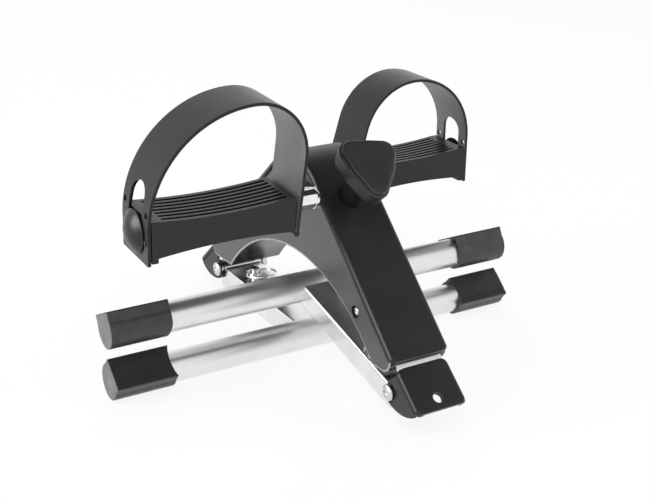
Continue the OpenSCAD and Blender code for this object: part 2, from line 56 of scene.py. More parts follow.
def size(name, default, text):
    """A length in metres that a user may change."""
    return FloatProperty(name=name, description=text, default=default, min=0.0, precision=5, unit="LENGTH")


def slope(name, default, text):
    """An angle that a user may change, its default given in degrees."""
    return FloatProperty(name=name, description=text, default=math.radians(default), subtype="ANGLE")


def colour(name, default, text):
    """A finish's colour."""
    return FloatVectorProperty(
        name=name, description=text, default=default, min=0.0, max=1.0, subtype="COLOR",
    )


class StandSizes(bpy.types.PropertyGroup):
    """Sizes of the folding stand."""

    stand_w: size("Stand width", 0.380, "Length across the feet")
    tube_r: size("Tube radius", 0.0127, "Outside radius of the cross tubes")
    hinge_y: size("Hinge distance", 0.146, "Distance of each hinge bolt from the middle")
    leg_len: size("Leg length", 0.149, "Hinge bolt to cross tube centre")
    leg_w: size("Leg width", 0.038, "Width of a leg")
    leg_h: size("Leg height", 0.0205, "Height of a leg")
    leg_corner: size("Leg corner", 0.0026, "Rounding along a leg's edges")
    foot_r: size("Foot radius", 0.015, "Radius of a foot cap")
    foot_len: size("Foot length", 0.049, "Length of a foot cap")
    pad_w: size("Pad width", 0.028, "Width of a foot's flat pad")
    front_up: slope("Front leg rise", 12.6, "Rise of the folded front leg from its hinge")
    rear_down: slope("Rear leg drop", 4.1, "Drop of the folded rear leg from its hinge")


class BodySizes(bpy.types.PropertyGroup):
    """Sizes of the arched body."""

    half_w: size("Half width", 0.026, "Middle to the outside of a side panel")
    arm_slope: slope("Arm slope", 43.8, "Slope of the front arm")
    arm_apex: size("Arm apex", 0.1784, "Height over the hinges of the front arm's line at the middle")
    body_front: size("Crown shift", 0.007, "How far the crown and the arch sit to the front")
    crown_r: size("Crown radius", 0.049, "Radius over the top of the body")
    arch_r: size("Arch radius", 0.157, "Radius of the arch under the body")
    arch_top: size("Arch height", 0.0705, "Height of the arch over the hinges")
    arm_end_r: size("Arm end radius", 0.012, "Radius of the rounded arm ends")
    shell: size("Shell", 0.0025, "Thickness of the plastic shells")
    bracket_slope: slope("Bracket slope", 40.0, "Slope of the end brackets' outer faces")
    bracket_w: size("Bracket width", 0.0452, "Width of an end bracket")
    bracket_d: size("Bracket reach", 0.0238, "Hinge axis to the bracket's outer face")


class PedalSizes(bpy.types.PropertyGroup):
    """Sizes of the cranks, pedals and straps."""

    axle_z: size("Axle height", 0.1174, "Height of the crank axle over the hinges")
    crank_len: size("Crank length", 0.064, "Crank axle to pedal axle")
    crank_rise: slope("Crank rise", 14.0, "Rise of the left crank, which points to the front")
    pedal_in: size("Pedal inner end", 0.067, "Inner end of a pedal, from the middle")
    pedal_len: size("Pedal length", 0.1095, "Length of a pedal block")
    pedal_d: size("Pedal depth", 0.046, "Depth of a pedal block")
    pedal_h: size("Pedal height", 0.028, "Height of a pedal block")
    tread_sag: size("Tread sag", 0.003, "Sag of the tread in the middle")
    belly_rise: size("Belly rise", 0.003, "Rise of the pedal's underside in the middle")
    strap_w: size("Strap width", 0.045, "Width of a strap")
    strap_t: size("Strap thickness", 0.0025, "Thickness of a strap")
    left_tilt: slope("Left tilt", 4.5, "Forward tilt of the left pedal")
    right_tilt: slope("Right tilt", 1.5, "Forward tilt of the right pedal")


class KnobSizes(bpy.types.PropertyGroup):
    """Sizes of the tension knob."""

    knob_y: size("Knob distance", 0.055, "Knob axis from the middle, at the arm's face")
    knob_top: size("Knob height", 0.046, "Knob face over the arm's face")
    knob_t: size("Knob thickness", 0.020, "Thickness of the knob's head")
    lobe_r: size("Lobe radius", 0.011, "Radius of a knob lobe")
    knob_turn: slope("Knob turn", -9.0, "Turn of the knob as it stands")


class FinishColours(bpy.types.PropertyGroup):
    """Colours of the finishes."""

    panel: colour("Side panels", (0.020, 0.020, 0.021), "Satin plastic of the side panels")
    # Painted highlight: a pale grey on the panels' arch edge that stands in for the light this rounded edge
    # reflects.
    panel_edge_painted_highlight: colour("Panel edges", (0.30, 0.30, 0.30), "Burnished edge along the arch")
    cover: colour("Front cover", (0.013, 0.013, 0.0135), "Matte plastic of the cover and brackets")
    pedal: colour("Pedals", (0.0065, 0.0065, 0.007), "Moulded plastic of the pedals")
    strap: colour("Straps", (0.0075, 0.0075, 0.008), "Flexible plastic of the straps")
    # Painted reflection: a light grey on the straps' insides that stands in for the white they reflect.
    strap_inside_painted_reflection: colour("Strap insides", (0.17, 0.17, 0.172), "Dull inside of the straps")
    knob: colour("Knob", (0.023, 0.023, 0.0235), "Soft plastic of the knob")
    # Feet rubber with painted light: the round sides are lighter than the pad, shade(foot, 0.42), to stand
    # in for light falling on them.
    foot: colour("Feet", (0.034, 0.034, 0.0345), "Rubber of the feet")
    # Painted light: the feet's end faces in a pale grey that stands in for the light falling on them.
    foot_end_painted_light: colour("Foot ends", (0.15, 0.15, 0.15), "Ground end faces of the feet")
    steel: colour("Plated steel", (0.80, 0.80, 0.80), "Satin plating of tubes and legs")
    chrome: colour("Chrome", (0.86, 0.86, 0.87), "Polished cranks and bolts")
    floor: colour("Floor", (0.90, 0.90, 0.90), "Pale studio floor")


GROUPS = {
    "exerciser_stand": StandSizes,
    "exerciser_body": BodySizes,
    "exerciser_pedals": PedalSizes,
    "exerciser_knob": KnobSizes,
    "exerciser_finish": FinishColours,
}


# Places and outlines


def stand():
    """Sizes of the stand."""
    return bpy.context.scene.exerciser_stand


def body():
    """Sizes of the body."""
    return bpy.context.scene.exerciser_body


def pedals():
    """Sizes of the pedals."""
    return bpy.context.scene.exerciser_pedals


def knob():
    """Sizes of the knob."""
    return bpy.context.scene.exerciser_knob


def finish():
    """Colours of the finishes."""
    return bpy.context.scene.exerciser_finish


# Mirrors and a turn for what is drawn once
MIRROR_X = Matrix.Diagonal((-1, 1, 1, 1))
MIRROR_Y = Matrix.Diagonal((1, -1, 1, 1))
STOOD = Matrix.Rotation(math.pi / 2, 4, "Y")
SIDES = {"left": MIRROR_X, "right": Matrix()}
ENDS = {"front": MIRROR_Y, "rear": Matrix()}
# A cross tube's centre under its leg's bolt, a bolt under its leg's top face, the reach of a cutter that
# goes right through, and the room round a tube
TUBE_DROP = 0.0055
PIVOT_DOWN = 0.0025
THROUGH = 0.03
SNUG = 0.00002


def turn_x(angle):
    """A turn about X."""
    return Matrix.Rotation(angle, 4, "X")


def hinge_z():
    """Height of the hinge bolts over the floor."""
    s = stand()
    return s.leg_len * math.sin(s.rear_down) + s.foot_r


def hinge_level():
    """Frame whose Z counts from the hinge bolts."""
    return Matrix.Translation((0, 0, hinge_z()))


def leg_tilt():
    """Angle between a leg and the line from its bolt to its tube."""
    return math.asin(TUBE_DROP / stand().leg_len)


def tube_u():
    """Distance of a cross tube along its leg."""
    return stand().leg_len * math.cos(leg_tilt())


def leg_frame(end):
    """Frame of a leg: Y along the leg from its bolt, Z up when folded."""
    s = stand()
    rise = s.front_up + leg_tilt() if end == "front" else leg_tilt() - s.rear_down
    place = Matrix.Translation((0, -s.hinge_y, hinge_z())) @ turn_x(rise)
    return place if end == "front" else MIRROR_Y @ place


def pedal_frame(side):
    """Frame of a pedal with X outwards along its axle."""
    p = pedals()
    reach = p.crank_len * math.cos(p.crank_rise)
    rise = p.crank_len * math.sin(p.crank_rise)
    if side == "right":
        return Matrix.Translation((0, reach, hinge_z() + p.axle_z - rise)) @ turn_x(p.right_tilt)
    return Matrix.Translation((0, -reach, hinge_z() + p.axle_z + rise)) @ MIRROR_X @ turn_x(p.left_tilt)


def knob_frame():
    """Frame of the knob: Z along its axis, 0 at the arm's face."""
    b, k = body(), knob()
    height = hinge_z() + b.arm_apex - k.knob_y * math.tan(b.arm_slope)
    return Matrix.Translation((0, -k.knob_y, height)) @ turn_x(b.arm_slope)


def arc(centre, radius, start, stop, steps):
    """Points along an arc, angles in degrees."""
    angles = [math.radians(start + (stop - start) * i / steps) for i in range(steps + 1)]
    return [(centre[0] + radius * math.cos(a), centre[1] + radius * math.sin(a)) for a in angles]


class BodyLine:
    """Side outline of the body in (Y, Z) over the hinges, with its upper and lower parts."""

    arm_past, split_up = 0.004, 0.002

    def __init__(self, short=0.0):
        b = body()
        self.b = b
        self.front = math.degrees(b.arm_slope)
        rise = math.tan(b.arm_slope)
        crown_z = b.arm_apex - b.body_front * rise - b.crown_r / math.cos(b.arm_slope)
        self.crown = (-b.body_front, crown_z)
        self.arch = (-b.body_front, b.arch_top - b.arch_r)
        reach = stand().hinge_y + self.arm_past - short
        self.end_y = reach - b.arm_end_r * math.sin(b.arm_slope)
        self.end_z = b.arm_apex - reach * rise - b.arm_end_r * math.cos(b.arm_slope)
        dy, dz = self.end_y - self.crown[0], self.end_z - self.crown[1]
        turn = math.asin((b.crown_r - b.arm_end_r) / math.hypot(dy, dz))
        self.back = math.degrees(turn - math.atan2(dz, dy))
        self.split = math.degrees(math.asin(self.split_up / b.arm_end_r))

    def over_crown(self, inset):
        """The crown's arc, from behind to the front."""
        return arc(self.crown, self.b.crown_r - inset, 90 - self.back, 90 + self.front, 40)

    def upper(self, inset):
        """Edge of the cover: rear arm end, crown and front arm end."""
        r = self.b.arm_end_r - inset
        return (
            arc((self.end_y, self.end_z), r, self.split, 90 - self.back, 10)
            + self.over_crown(inset)
            + arc((-self.end_y, self.end_z), r, 90 + self.front, 180 - self.split, 6)
        )

    def lower(self, inset):
        """Edge of the underside: front arm end, arch and rear arm end."""
        r, wide = self.b.arm_end_r - inset, self.b.arch_r + inset
        bottom = self.end_z - self.b.arm_end_r + inset
        lean = math.degrees(math.asin((bottom - self.arch[1]) / wide))
        return (
            arc((-self.end_y, self.end_z), r, 181 - self.split, 270, 12)
            + arc(self.arch, wide, 180 - lean, lean, 72)
            + arc((self.end_y, self.end_z), r, -90, self.split - 1, 12)
        )

    def cover_path(self, inset, past, stations):
        """The cover's line from behind to the front, run straight past both arm ends."""
        r = self.b.arm_end_r - inset
        reach = [past - e for e in stations]

        def run_out(sign, degrees, t):
            """A point past the rear or the front arm's end."""
            c, s = math.cos(math.radians(degrees)), math.sin(math.radians(degrees))
            return (sign * (self.end_y + r * s + t * c), self.end_z + r * c - t * s)

        behind = [run_out(1, self.back, t) for t in reach]
        ahead = [run_out(-1, self.front, t) for t in reversed(reach)]
        return behind + self.over_crown(inset) + ahead


def bracket_point(u, d):
    """A point of the rear bracket: u along its outer face, d out from the hinge."""
    b = body()
    c, s = math.cos(b.bracket_slope), math.sin(b.bracket_slope)
    return (stand().hinge_y + u * c + d * s, d * c - u * s)


def rounded_box_line(x0, x1, z0, z1, r, steps=5):
    """A rectangle with rounded corners."""
    corners = ((x1 - r, z1 - r), (x0 + r, z1 - r), (x0 + r, z0 + r), (x1 - r, z0 + r))
    return [q for i, at in enumerate(corners) for q in arc(at, r, 90 * i, 90 * i + 90, steps)]


def convex_line(points):
    """Convex outline round some points, counter-clockwise."""

    def bends_left(a, b, c):
        """Whether the way from a to c turns left at b."""
        return (b[0] - a[0]) * (c[1] - a[1]) > (b[1] - a[1]) * (c[0] - a[0])

    def half(seq):
        """The outline along one side of the points."""
        out = []
        for q in seq:
            while len(out) > 1 and not bends_left(out[-2], out[-1], q):
                out.pop()
            out.append(q)
        return out[:-1]

    ordered = sorted(set(points))
    return half(ordered) + half(ordered[::-1])


def even_line(points, count):
    """The same closed outline in equal steps."""
    loop = [Vector(p) for p in points] + [Vector(points[0])]
    spans = [(b - a).length for a, b in zip(loop, loop[1:])]
    step, out, i, used = sum(spans) / count, [], 0, 0.0
    for n in range(count):
        want = n * step
        while used + spans[i] < want:
            used += spans[i]
            i += 1
        out.append(loop[i].lerp(loop[i + 1], (want - used) / spans[i]))
    return out


def drawn_in(points, inset):
    """A smooth convex outline moved inwards."""
    out, n = [], len(points)
    for i in range(n):
        along = (points[(i + 1) % n] - points[i - 1]).normalized()
        out.append(points[i] + inset * Vector((-along.y, along.x)))
    return out


# Meshes

# A point of an outline, set along each axis
ALONG = {
    "X": lambda a, b, t: (t, a, b),
    "Y": lambda a, b, t: (a, t, b),
    "Z": lambda a, b, t: (a, b, t),
}
# A channel's flange edge and the shadow line along its sides, as (X, depth) from each one's place on the
# side face, and the fillet inside
CHANNEL_EDGE = ((-0.0006, 0.0), (-0.0002, -0.0001), (0.0, -0.0004))
CHANNEL_GROOVE = ((0.0, 0.0004), (-0.0006, 0.0002), (-0.0006, -0.0002), (0.0, -0.0004))
CHANNEL_ROOT = 0.0004
# Edges that turn more than this are rounded, and points closer than this are one
SHARP = math.radians(35)
WELD = 1e-6


def lofted(rings):
    """A closed skin through rings of equal count."""
    bm = bmesh.new()
    loops = [[bm.verts.new(p) for p in ring] for ring in rings]
    n = len(rings[0])
    for a, b in zip(loops, loops[1:]):
        for i in range(n):
            bm.faces.new((a[i], a[(i + 1) % n], b[(i + 1) % n], b[i]))
    bm.faces.new(loops[0][::-1])
    bm.faces.new(loops[-1])
    return bm


def prism(line, lo, hi, axis="X"):
    """A closed outline drawn out along X, Y or Z."""
    return lofted([[ALONG[axis](a, b, t) for a, b in line] for t in (lo, hi)])


def block(lo, hi):
    """A box between two corners."""
    return prism([(lo[1], lo[2]), (hi[1], lo[2]), (hi[1], hi[2]), (lo[1], hi[2])], lo[0], hi[0])


def full_turn(steps):
    """Angles of a full turn in equal steps."""
    return [2 * math.pi * i / steps for i in range(steps)]


def turned(profile, steps=64, centre=(0, 0)):
    """A turned piece along X: (x, radius) pairs from end to end, with closed ends."""
    y, z = centre
    angles = full_turn(steps)
    return lofted([[(x, y + r * math.cos(a), z + r * math.sin(a)) for a in angles] for x, r in profile])


def rod(r, x0, x1, centre=(0, 0), steps=48):
    """A round bar along X."""
    return turned([(x0, r), (x1, r)], steps, centre)


def end_stations(end_r):
    """Distances from a channel's end at which its corner is drawn."""
    return [end_r * f for f in (0.0, 0.04, 0.14, 0.3, 0.5, 0.75, 1.0)]


def channel(path, half, edge_r, flange, wall, end_r):
    """A channel with rounded edges and corners along path(inset), a list of (y, z) points."""
    line = (edge_r + flange) / 2
    outside = [(half + x, flange + t) for x, t in CHANNEL_EDGE]
    outside += [(half + x, line + t) for x, t in CHANNEL_GROOVE]
    outside += [
        (half - edge_r + edge_r * math.cos(a), edge_r - edge_r * math.sin(a))
        for a in (math.radians(15 * i) for i in range(7))
    ]
    room = half - wall
    right = [(room - CHANNEL_ROOT, wall), (room, wall + CHANNEL_ROOT), (room, flange)] + outside
    profile = right + [(-x, t) for x, t in right[::-1]]
    base = [Vector(q) for q in path(0)]
    run = [0.0]
    for a, b in zip(base, base[1:]):
        run.append(run[-1] + (b - a).length)
    lines = {t: path(t) for t in {t for _, t in profile}}
    rings = []
    for k, along in enumerate(run):
        short = max(0.0, end_r - min(along, run[-1] - along))
        width = (half - end_r + math.sqrt(max(end_r**2 - short**2, 0.0))) / half
        rings.append([(x * width, *lines[t][k]) for x, t in profile])
    return lofted(rings)


def swept(path, radius, steps=10):
    """A round wire along an open path of points."""
    points = [Vector(p) for p in path]
    last = len(points) - 1
    rings = []
    for i, p in enumerate(points):
        along = (points[min(i + 1, last)] - points[max(i - 1, 0)]).normalized()
        side = along.cross(Vector((0, 0, 1))).normalized()
        up = side.cross(along)
        rings.append([p + radius * (math.cos(a) * side + math.sin(a) * up) for a in full_turn(steps)])
    return lofted(rings)


def softened(bm, width):
    """Rounds a bmesh's sharp edges."""
    bm.normal_update()
    sharp = [e for e in bm.edges if e.calc_face_angle(0.0) > SHARP]
    bmesh.ops.bevel(
        bm, geom=sharp, offset=width, segments=3, profile=0.5, affect="EDGES", clamp_overlap=True,
    )
    return bm


def scratch_object(bm, name):
    """An object made from a bmesh, with outward normals."""
    bmesh.ops.recalc_face_normals(bm, faces=bm.faces)
    for f in bm.faces:
        f.smooth = True
    mesh = bpy.data.meshes.new(name)
    bm.to_mesh(mesh)
    bm.free()
    obj = bpy.data.objects.new(name, mesh)
    bpy.context.scene.collection.objects.link(obj)
    return obj


def settled(obj):
    """Bakes an object's modifiers into its mesh."""
    graph = bpy.context.evaluated_depsgraph_get()
    mesh = bpy.data.meshes.new_from_object(obj.evaluated_get(graph))
    old = obj.data
    obj.modifiers.clear()
    obj.data = mesh
    bpy.data.meshes.remove(old)


def cut(*tools):
    """Tools that are cut away."""
    return [("DIFFERENCE", bm) for bm in tools]


def joined(*tools):
    """Tools that are joined on."""
    return [("UNION", bm) for bm in tools]


def carved(obj, tools):
    """Cuts bmeshes from an object or joins them to it: (mode, bmesh) pairs."""
    helpers = []
    for mode, bm in tools:
        helper = scratch_object(bm, "helper")
        cut = obj.modifiers.new("cut", "BOOLEAN")
        cut.operation, cut.object, cut.solver = mode, helper, "EXACT"
        helpers.append(helper)
    settled(obj)
    for helper in helpers:
        mesh = helper.data
        bpy.data.objects.remove(helper)
        bpy.data.meshes.remove(mesh)


def eased(obj, width, segments):
    """Rounds an object's edges."""
    bm = bmesh.new()
    bm.from_mesh(obj.data)
    bmesh.ops.remove_doubles(bm, verts=bm.verts, dist=WELD)
    bmesh.ops.dissolve_degenerate(bm, edges=bm.edges, dist=WELD)
    bm.to_mesh(obj.data)
    bm.free()
    edge = obj.modifiers.new("edges", "BEVEL")
    edge.width, edge.segments = width, segments
    edge.limit_method, edge.angle_limit = "ANGLE", SHARP
    settled(obj)


def piece(
    name, bm, where, rides, look, stands_for=(), tools=(), ease=0.0, segments=3, after=(), crisp=50,
):
    """Makes one finished piece: cut, rounded, placed, dressed and riding on its body."""
    obj = scratch_object(bm, name)
    if tools:
        carved(obj, tools)
    if ease:
        eased(obj, ease, segments)
    if after:
        carved(obj, after)
    mesh = obj.data
    mesh.transform(where)
    if where.determinant() < 0:
        mesh.flip_normals()
    for polygon in mesh.polygons:
        polygon.use_smooth = True
    mesh.set_sharp_from_angle(angle=math.radians(crisp))
    even = obj.modifiers.new("even", "WEIGHTED_NORMAL")
    even.keep_sharp = True
    mesh.materials.clear()
    mesh.materials.append(dressed(look))
    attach(obj, rides)
    if stands_for:
        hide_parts(*stands_for)
    return obj


def repainted(obj, looks, choose):
    """Gives faces other finishes: choose(polygon) is 0 for the piece's own, else counts the looks."""
    for look in looks:
        obj.data.materials.append(dressed(look))
    for polygon in obj.data.polygons:
        polygon.material_index = choose(polygon)


# Finishes


class Finish:
    """A node material built round one shader."""

    noise_low, noise_high = 0.3, 0.7

    def __init__(self, name):
        self.material = bpy.data.materials.new(name)
        self.material.use_nodes = True
        self.tree = self.material.node_tree
        self.shader = self.tree.nodes["Principled BSDF"]
        self.place = self.add("ShaderNodeTexCoord").outputs["Object"]

    def add(self, kind, **sockets):
        """A node with some of its inputs set by value or link."""
        node = self.tree.nodes.new(kind)
        for key, value in sockets.items():
            self.feed(node.inputs[key.replace("_", " ")], value)
        return node

    def feed(self, socket, value):
        """Sets an input, by link where the value is another node's output."""
        if isinstance(value, bpy.types.NodeSocket):
            self.tree.links.new(value, socket)
        else:
            socket.default_value = value

    def set(self, **sockets):
        """Sets the shader's inputs."""
        for key, value in sockets.items():
            self.feed(self.shader.inputs[key.replace("_", " ")], value)

    def noise(self, scale, detail=3.0, stretch=None):
        """Noise over the object, in features per metre."""
        place = self.place
        if stretch:
            place = self.add("ShaderNodeMapping", Vector=place, Scale=stretch).outputs["Vector"]
        return self.add("ShaderNodeTexNoise", Vector=place, Scale=scale, Detail=detail).outputs["Fac"]

    def spread(self, value, low, high):
        """Maps noise about its middle on to a range."""
        node = self.add(
            "ShaderNodeMapRange", Value=value, From_Min=self.noise_low, From_Max=self.noise_high,
            To_Min=low, To_Max=high,
        )
        return node.outputs["Result"]

    def tinted(self, value, rgb, dark, light):
        """A colour that runs from a darker to a lighter shade with noise."""
        mix = self.tree.nodes.new("ShaderNodeMix")
        mix.data_type = "RGBA"
        self.feed(mix.inputs["Factor"], self.spread(value, 0.0, 1.0))
        for socket, by in ((mix.inputs[6], dark), (mix.inputs[7], light)):
            socket.default_value = (*shade(rgb, by), 1)
        return mix.outputs[2]

    def bumped(self, value, depth):
        """A normal roughened by noise, its depth in metres."""
        return self.add("ShaderNodeBump", Height=value, Distance=depth, Strength=1.0).outputs["Normal"]


def shade(rgb, by):
    """A colour made darker or lighter."""
    return tuple(min(1.0, c * by) for c in rgb)


def moulded_plastic(name, rgb, rough, grain, shine=0.5):
    """Moulded plastic: a fine grain, with broad patches of more and less polish."""
    f = Finish(name)
    f.set(
        Base_Color=f.tinted(f.noise(35.0), rgb, 0.85, 1.15),
        Roughness=f.spread(f.noise(60.0, 5.0), rough - 0.035, rough + 0.035),
        Normal=f.bumped(f.noise(grain, 2.0), 0.00003),
        Specular_IOR_Level=shine,
    )
    return f.material


def foot_rubber(name, rgb, rough):
    """Black rubber with a dusty, faintly pitted skin."""
    f = Finish(name)
    f.set(
        Base_Color=f.tinted(f.noise(90.0, 6.0), rgb, 0.75, 1.3),
        Roughness=f.spread(f.noise(150.0, 4.0), rough - 0.05, rough + 0.05),
        Normal=f.bumped(f.noise(2200.0, 2.0), 0.00004),
    )
    return f.material


def plated_steel(name, rgb, rough, drawn):
    """Satin plated steel with fine lines along its drawing direction."""
    f = Finish(name)
    lines = f.noise(1.0, 2.0, stretch=drawn)
    f.set(
        Base_Color=f.tinted(f.noise(40.0, 4.0), rgb, 0.94, 1.05),
        Roughness=f.spread(lines, rough - 0.02, rough + 0.02),
        Normal=f.bumped(lines, 0.0000008),
        Metallic=1.0,
    )
    return f.material


def bright_chrome(name, rgb, rough):
    """Polished plating with faint waviness and handling marks."""
    f = Finish(name)
    f.set(
        Base_Color=f.tinted(f.noise(70.0, 4.0), rgb, 0.95, 1.04),
        Roughness=f.spread(f.noise(220.0, 5.0), rough * 0.6, rough * 1.5),
        Normal=f.bumped(f.noise(55.0, 1.0), 0.00006),
        Metallic=1.0,
    )
    return f.material


def band_felt(name, rgb):
    """Pressed felt on the brake band."""
    f = Finish(name)
    f.set(
        Base_Color=f.tinted(f.noise(900.0, 6.0), rgb, 0.6, 1.3),
        Normal=f.bumped(f.noise(1500.0, 6.0), 0.0003),
        Roughness=0.95,
    )
    return f.material


def finish_table():
    """The materials of the part, by finish."""
    c = finish()
    along_x, along_y = (25.0, 9000.0, 9000.0), (9000.0, 25.0, 9000.0)
    return {
        "panel": moulded_plastic("panel_plastic", c.panel, 0.26, 2600.0, 1.0),
        # The arch's edge faces: a painted highlight, as a lighter copy of the panel plastic.
        "panel_edge_painted_highlight": moulded_plastic("panel_edge_plastic", c.panel_edge_painted_highlight, 0.30, 2600.0, 0.8),
        "cover": moulded_plastic("cover_plastic", c.cover, 0.38, 3000.0, 0.38),
        "pedal": moulded_plastic("pedal_plastic", c.pedal, 0.32, 2800.0, 0.40),
        "strap": moulded_plastic("strap_plastic", c.strap, 0.30, 2400.0, 0.34),
        "knob": moulded_plastic("knob_plastic", c.knob, 0.36, 3200.0, 0.40),
        # Inside faces of the straps: a painted reflection in light grey.
        "strap_inside_painted_reflection": moulded_plastic("strap_inner_plastic", c.strap_inside_painted_reflection, 0.42, 1800.0, 0.5),
        # Near-black plastic of the axle bushes. It is also used as painted shade on the tension collar, the
        # knob's underside and hub, and the panels' screw holes.
        "bush": moulded_plastic("bush_plastic", shade(c.pedal, 0.6), 0.45, 2600.0),
        # Lit and shaded copies of one rubber: the round sides and end faces are painted lighter as light,
        # and the pad is darker.
        "foot": foot_rubber("foot_rubber", c.foot, 0.42),
        "foot_pad": foot_rubber("foot_pad_rubber", shade(c.foot, 0.42), 0.45),
        "foot_end_painted_light": foot_rubber("foot_end_rubber", c.foot_end_painted_light, 0.50),
        "tube": plated_steel("tube_steel", c.steel, 0.36, along_x),
        "leg": plated_steel("leg_steel", c.steel, 0.20, along_y),
        "chrome": bright_chrome("crank_chrome", c.chrome, 0.10),
        "zinc": bright_chrome("fastener_zinc", shade(c.chrome, 0.76), 0.20),
        "felt": band_felt("band_felt", (0.11, 0.07, 0.045)),
        "iron": plated_steel("drum_iron", (0.22, 0.22, 0.22), 0.42, (5200.0, 60.0, 60.0)),
        "brass": plated_steel("nut_brass", (0.60, 0.42, 0.16), 0.30, along_x),
    }


FINISHES = {}


def dressed(key):
    """A finish of the part, made on first use."""
    if not FINISHES:
        FINISHES.update(finish_table())
    return FINISHES[key]


# Operators


class ExerciserOperator:
    """What the part's operators share."""

    bl_options = {"REGISTER", "UNDO"}


class EXERCISER_OT_body(ExerciserOperator, bpy.types.Operator):
    """Side panels with their arched rims, the front cover and the casing screws"""

    bl_idname = "exerciser.body"
    bl_label = "Body panels"

    axle_hole_r, knob_hole_r, knob_hole_deep = 0.0133, 0.0091, 0.02
    panel_sunk, flange, groove, end_gap = 0.0005, 0.0052, 0.0006, 0.0020
    panel_back = ((0.0, 0.0002), (0.0002, 0.0))
    panel_front = ((-0.0006, 0.0), (-0.00025, 0.0006), (0.0, 0.0017))
    rim_from, rim_into = 0.0001, 0.0005
    slant_low, slant_high, upward = 0.3, 0.995, 0.02
    edge_r, end_r, cover_past = 0.0038, 0.004, 0.008
    screw_at, screw_sunk, screw_hole_r, hole_share = (0.1025, 0.0502), 0.0016, 0.005, 1.02
    screw_r, shank_r, shank_len = 0.0030, 0.0018, 0.012
    screw_head = ((0.0, 1.0), (0.0006, 1.0), (0.0010, 0.84), (0.0012, 0.58), (0.0004, 0.52), (0.0003, 0.2))

    def screw_spots(self):
        """Places of a panel's screws in (Y, Z) over the hinges."""
        y, z = self.screw_at
        return [(-y, z), (y, z)]

    def panel(self, side):
        """One side panel with the half of the arch's rim that it carries."""
        b, line = body(), BodyLine(self.end_gap)
        inner, face = b.half_w - b.shell, b.half_w - self.panel_sunk
        top = self.flange + self.groove
        steps = [(inner + x, t) for x, t in self.panel_back] + [(face + x, t) for x, t in self.panel_front]
        bm = lofted([[(x, *q) for q in line.upper(top + t) + line.lower(t)] for x, t in steps])
        rim = prism(line.lower(0) + line.lower(b.shell)[::-1], self.rim_from, inner + self.rim_into)
        axle = rod(self.axle_hole_r, 0, THROUGH, (0, pedals().axle_z), 64)
        floor = face - self.screw_sunk
        holes = [rod(self.screw_hole_r, floor, THROUGH, spot, 40) for spot in self.screw_spots()]
        obj = piece(
            f"{side}_side_panel", bm, hinge_level() @ SIDES[side], "housing", "panel",
            [f"{side}_side_shell"], joined(rim) + cut(axle, *holes),
        )
        spots = [Vector((y, z + hinge_z())) for y, z in self.screw_spots()]

        def choose(polygon):
            """1 for the arch's rounded edge, painted lighter as a highlight, 2 inside a screw's hole,
            painted near black as shade.
            """
            normal, centre = polygon.normal, polygon.center
            # Edge faces along the arch that look out and down get the painted highlight.
            if self.slant_low < abs(normal.x) < self.slant_high and normal.z < self.upward:
                return 1
            # Walls of the screw holes take the near-black bush plastic as painted shade in the recess.
            away = min((Vector(centre[1:]) - spot).length for spot in spots)
            return 2 if abs(centre.x) > inner and away < self.screw_hole_r * self.hole_share else 0

        repainted(obj, ("panel_edge_painted_highlight", "bush"), choose)

    def cover(self):
        """The cover over the front arm, crown and rear arm, turned down at its sides."""
        b, line, stations = body(), BodyLine(), end_stations(self.end_r)

        def path(inset):
            """The cover's line at a depth under its face."""
            return line.cover_path(inset, self.cover_past, stations)

        bm = channel(path, b.half_w, self.edge_r, self.flange, b.shell, self.end_r)
        hole = rod(self.knob_hole_r, -self.knob_hole_deep, self.knob_hole_deep, steps=64)
        hole.transform(hinge_level().inverted() @ knob_frame() @ STOOD)
        piece(
            "front_cover", bm, hinge_level(), "housing", "cover", ["top_cover"],
            after=cut(hole),
        )

    def screws(self):
        """Four socket screws, sunk in their holes."""
        base = body().half_w - self.panel_sunk - self.screw_sunk
        profile = [(base - self.shank_len, self.shank_r), (base, self.shank_r)]
        profile += [(base + x, self.screw_r * share) for x, share in self.screw_head]
        bm = bmesh.new()
        for mirror in SIDES.values():
            for spot in self.screw_spots():
                screw = turned(profile, 24, spot)
                screw.transform(mirror)
                mesh = bpy.data.meshes.new("screw")
                screw.to_mesh(mesh)
                screw.free()
                bm.from_mesh(mesh)
                bpy.data.meshes.remove(mesh)
        piece(
            "panel_screws", bm, hinge_level(), "housing", "zinc", ["casing_screws"],
            crisp=40,
        )

    def execute(self, context):
        for side in SIDES:
            self.panel(side)
        self.cover()
        self.screws()
        return {"FINISHED"}


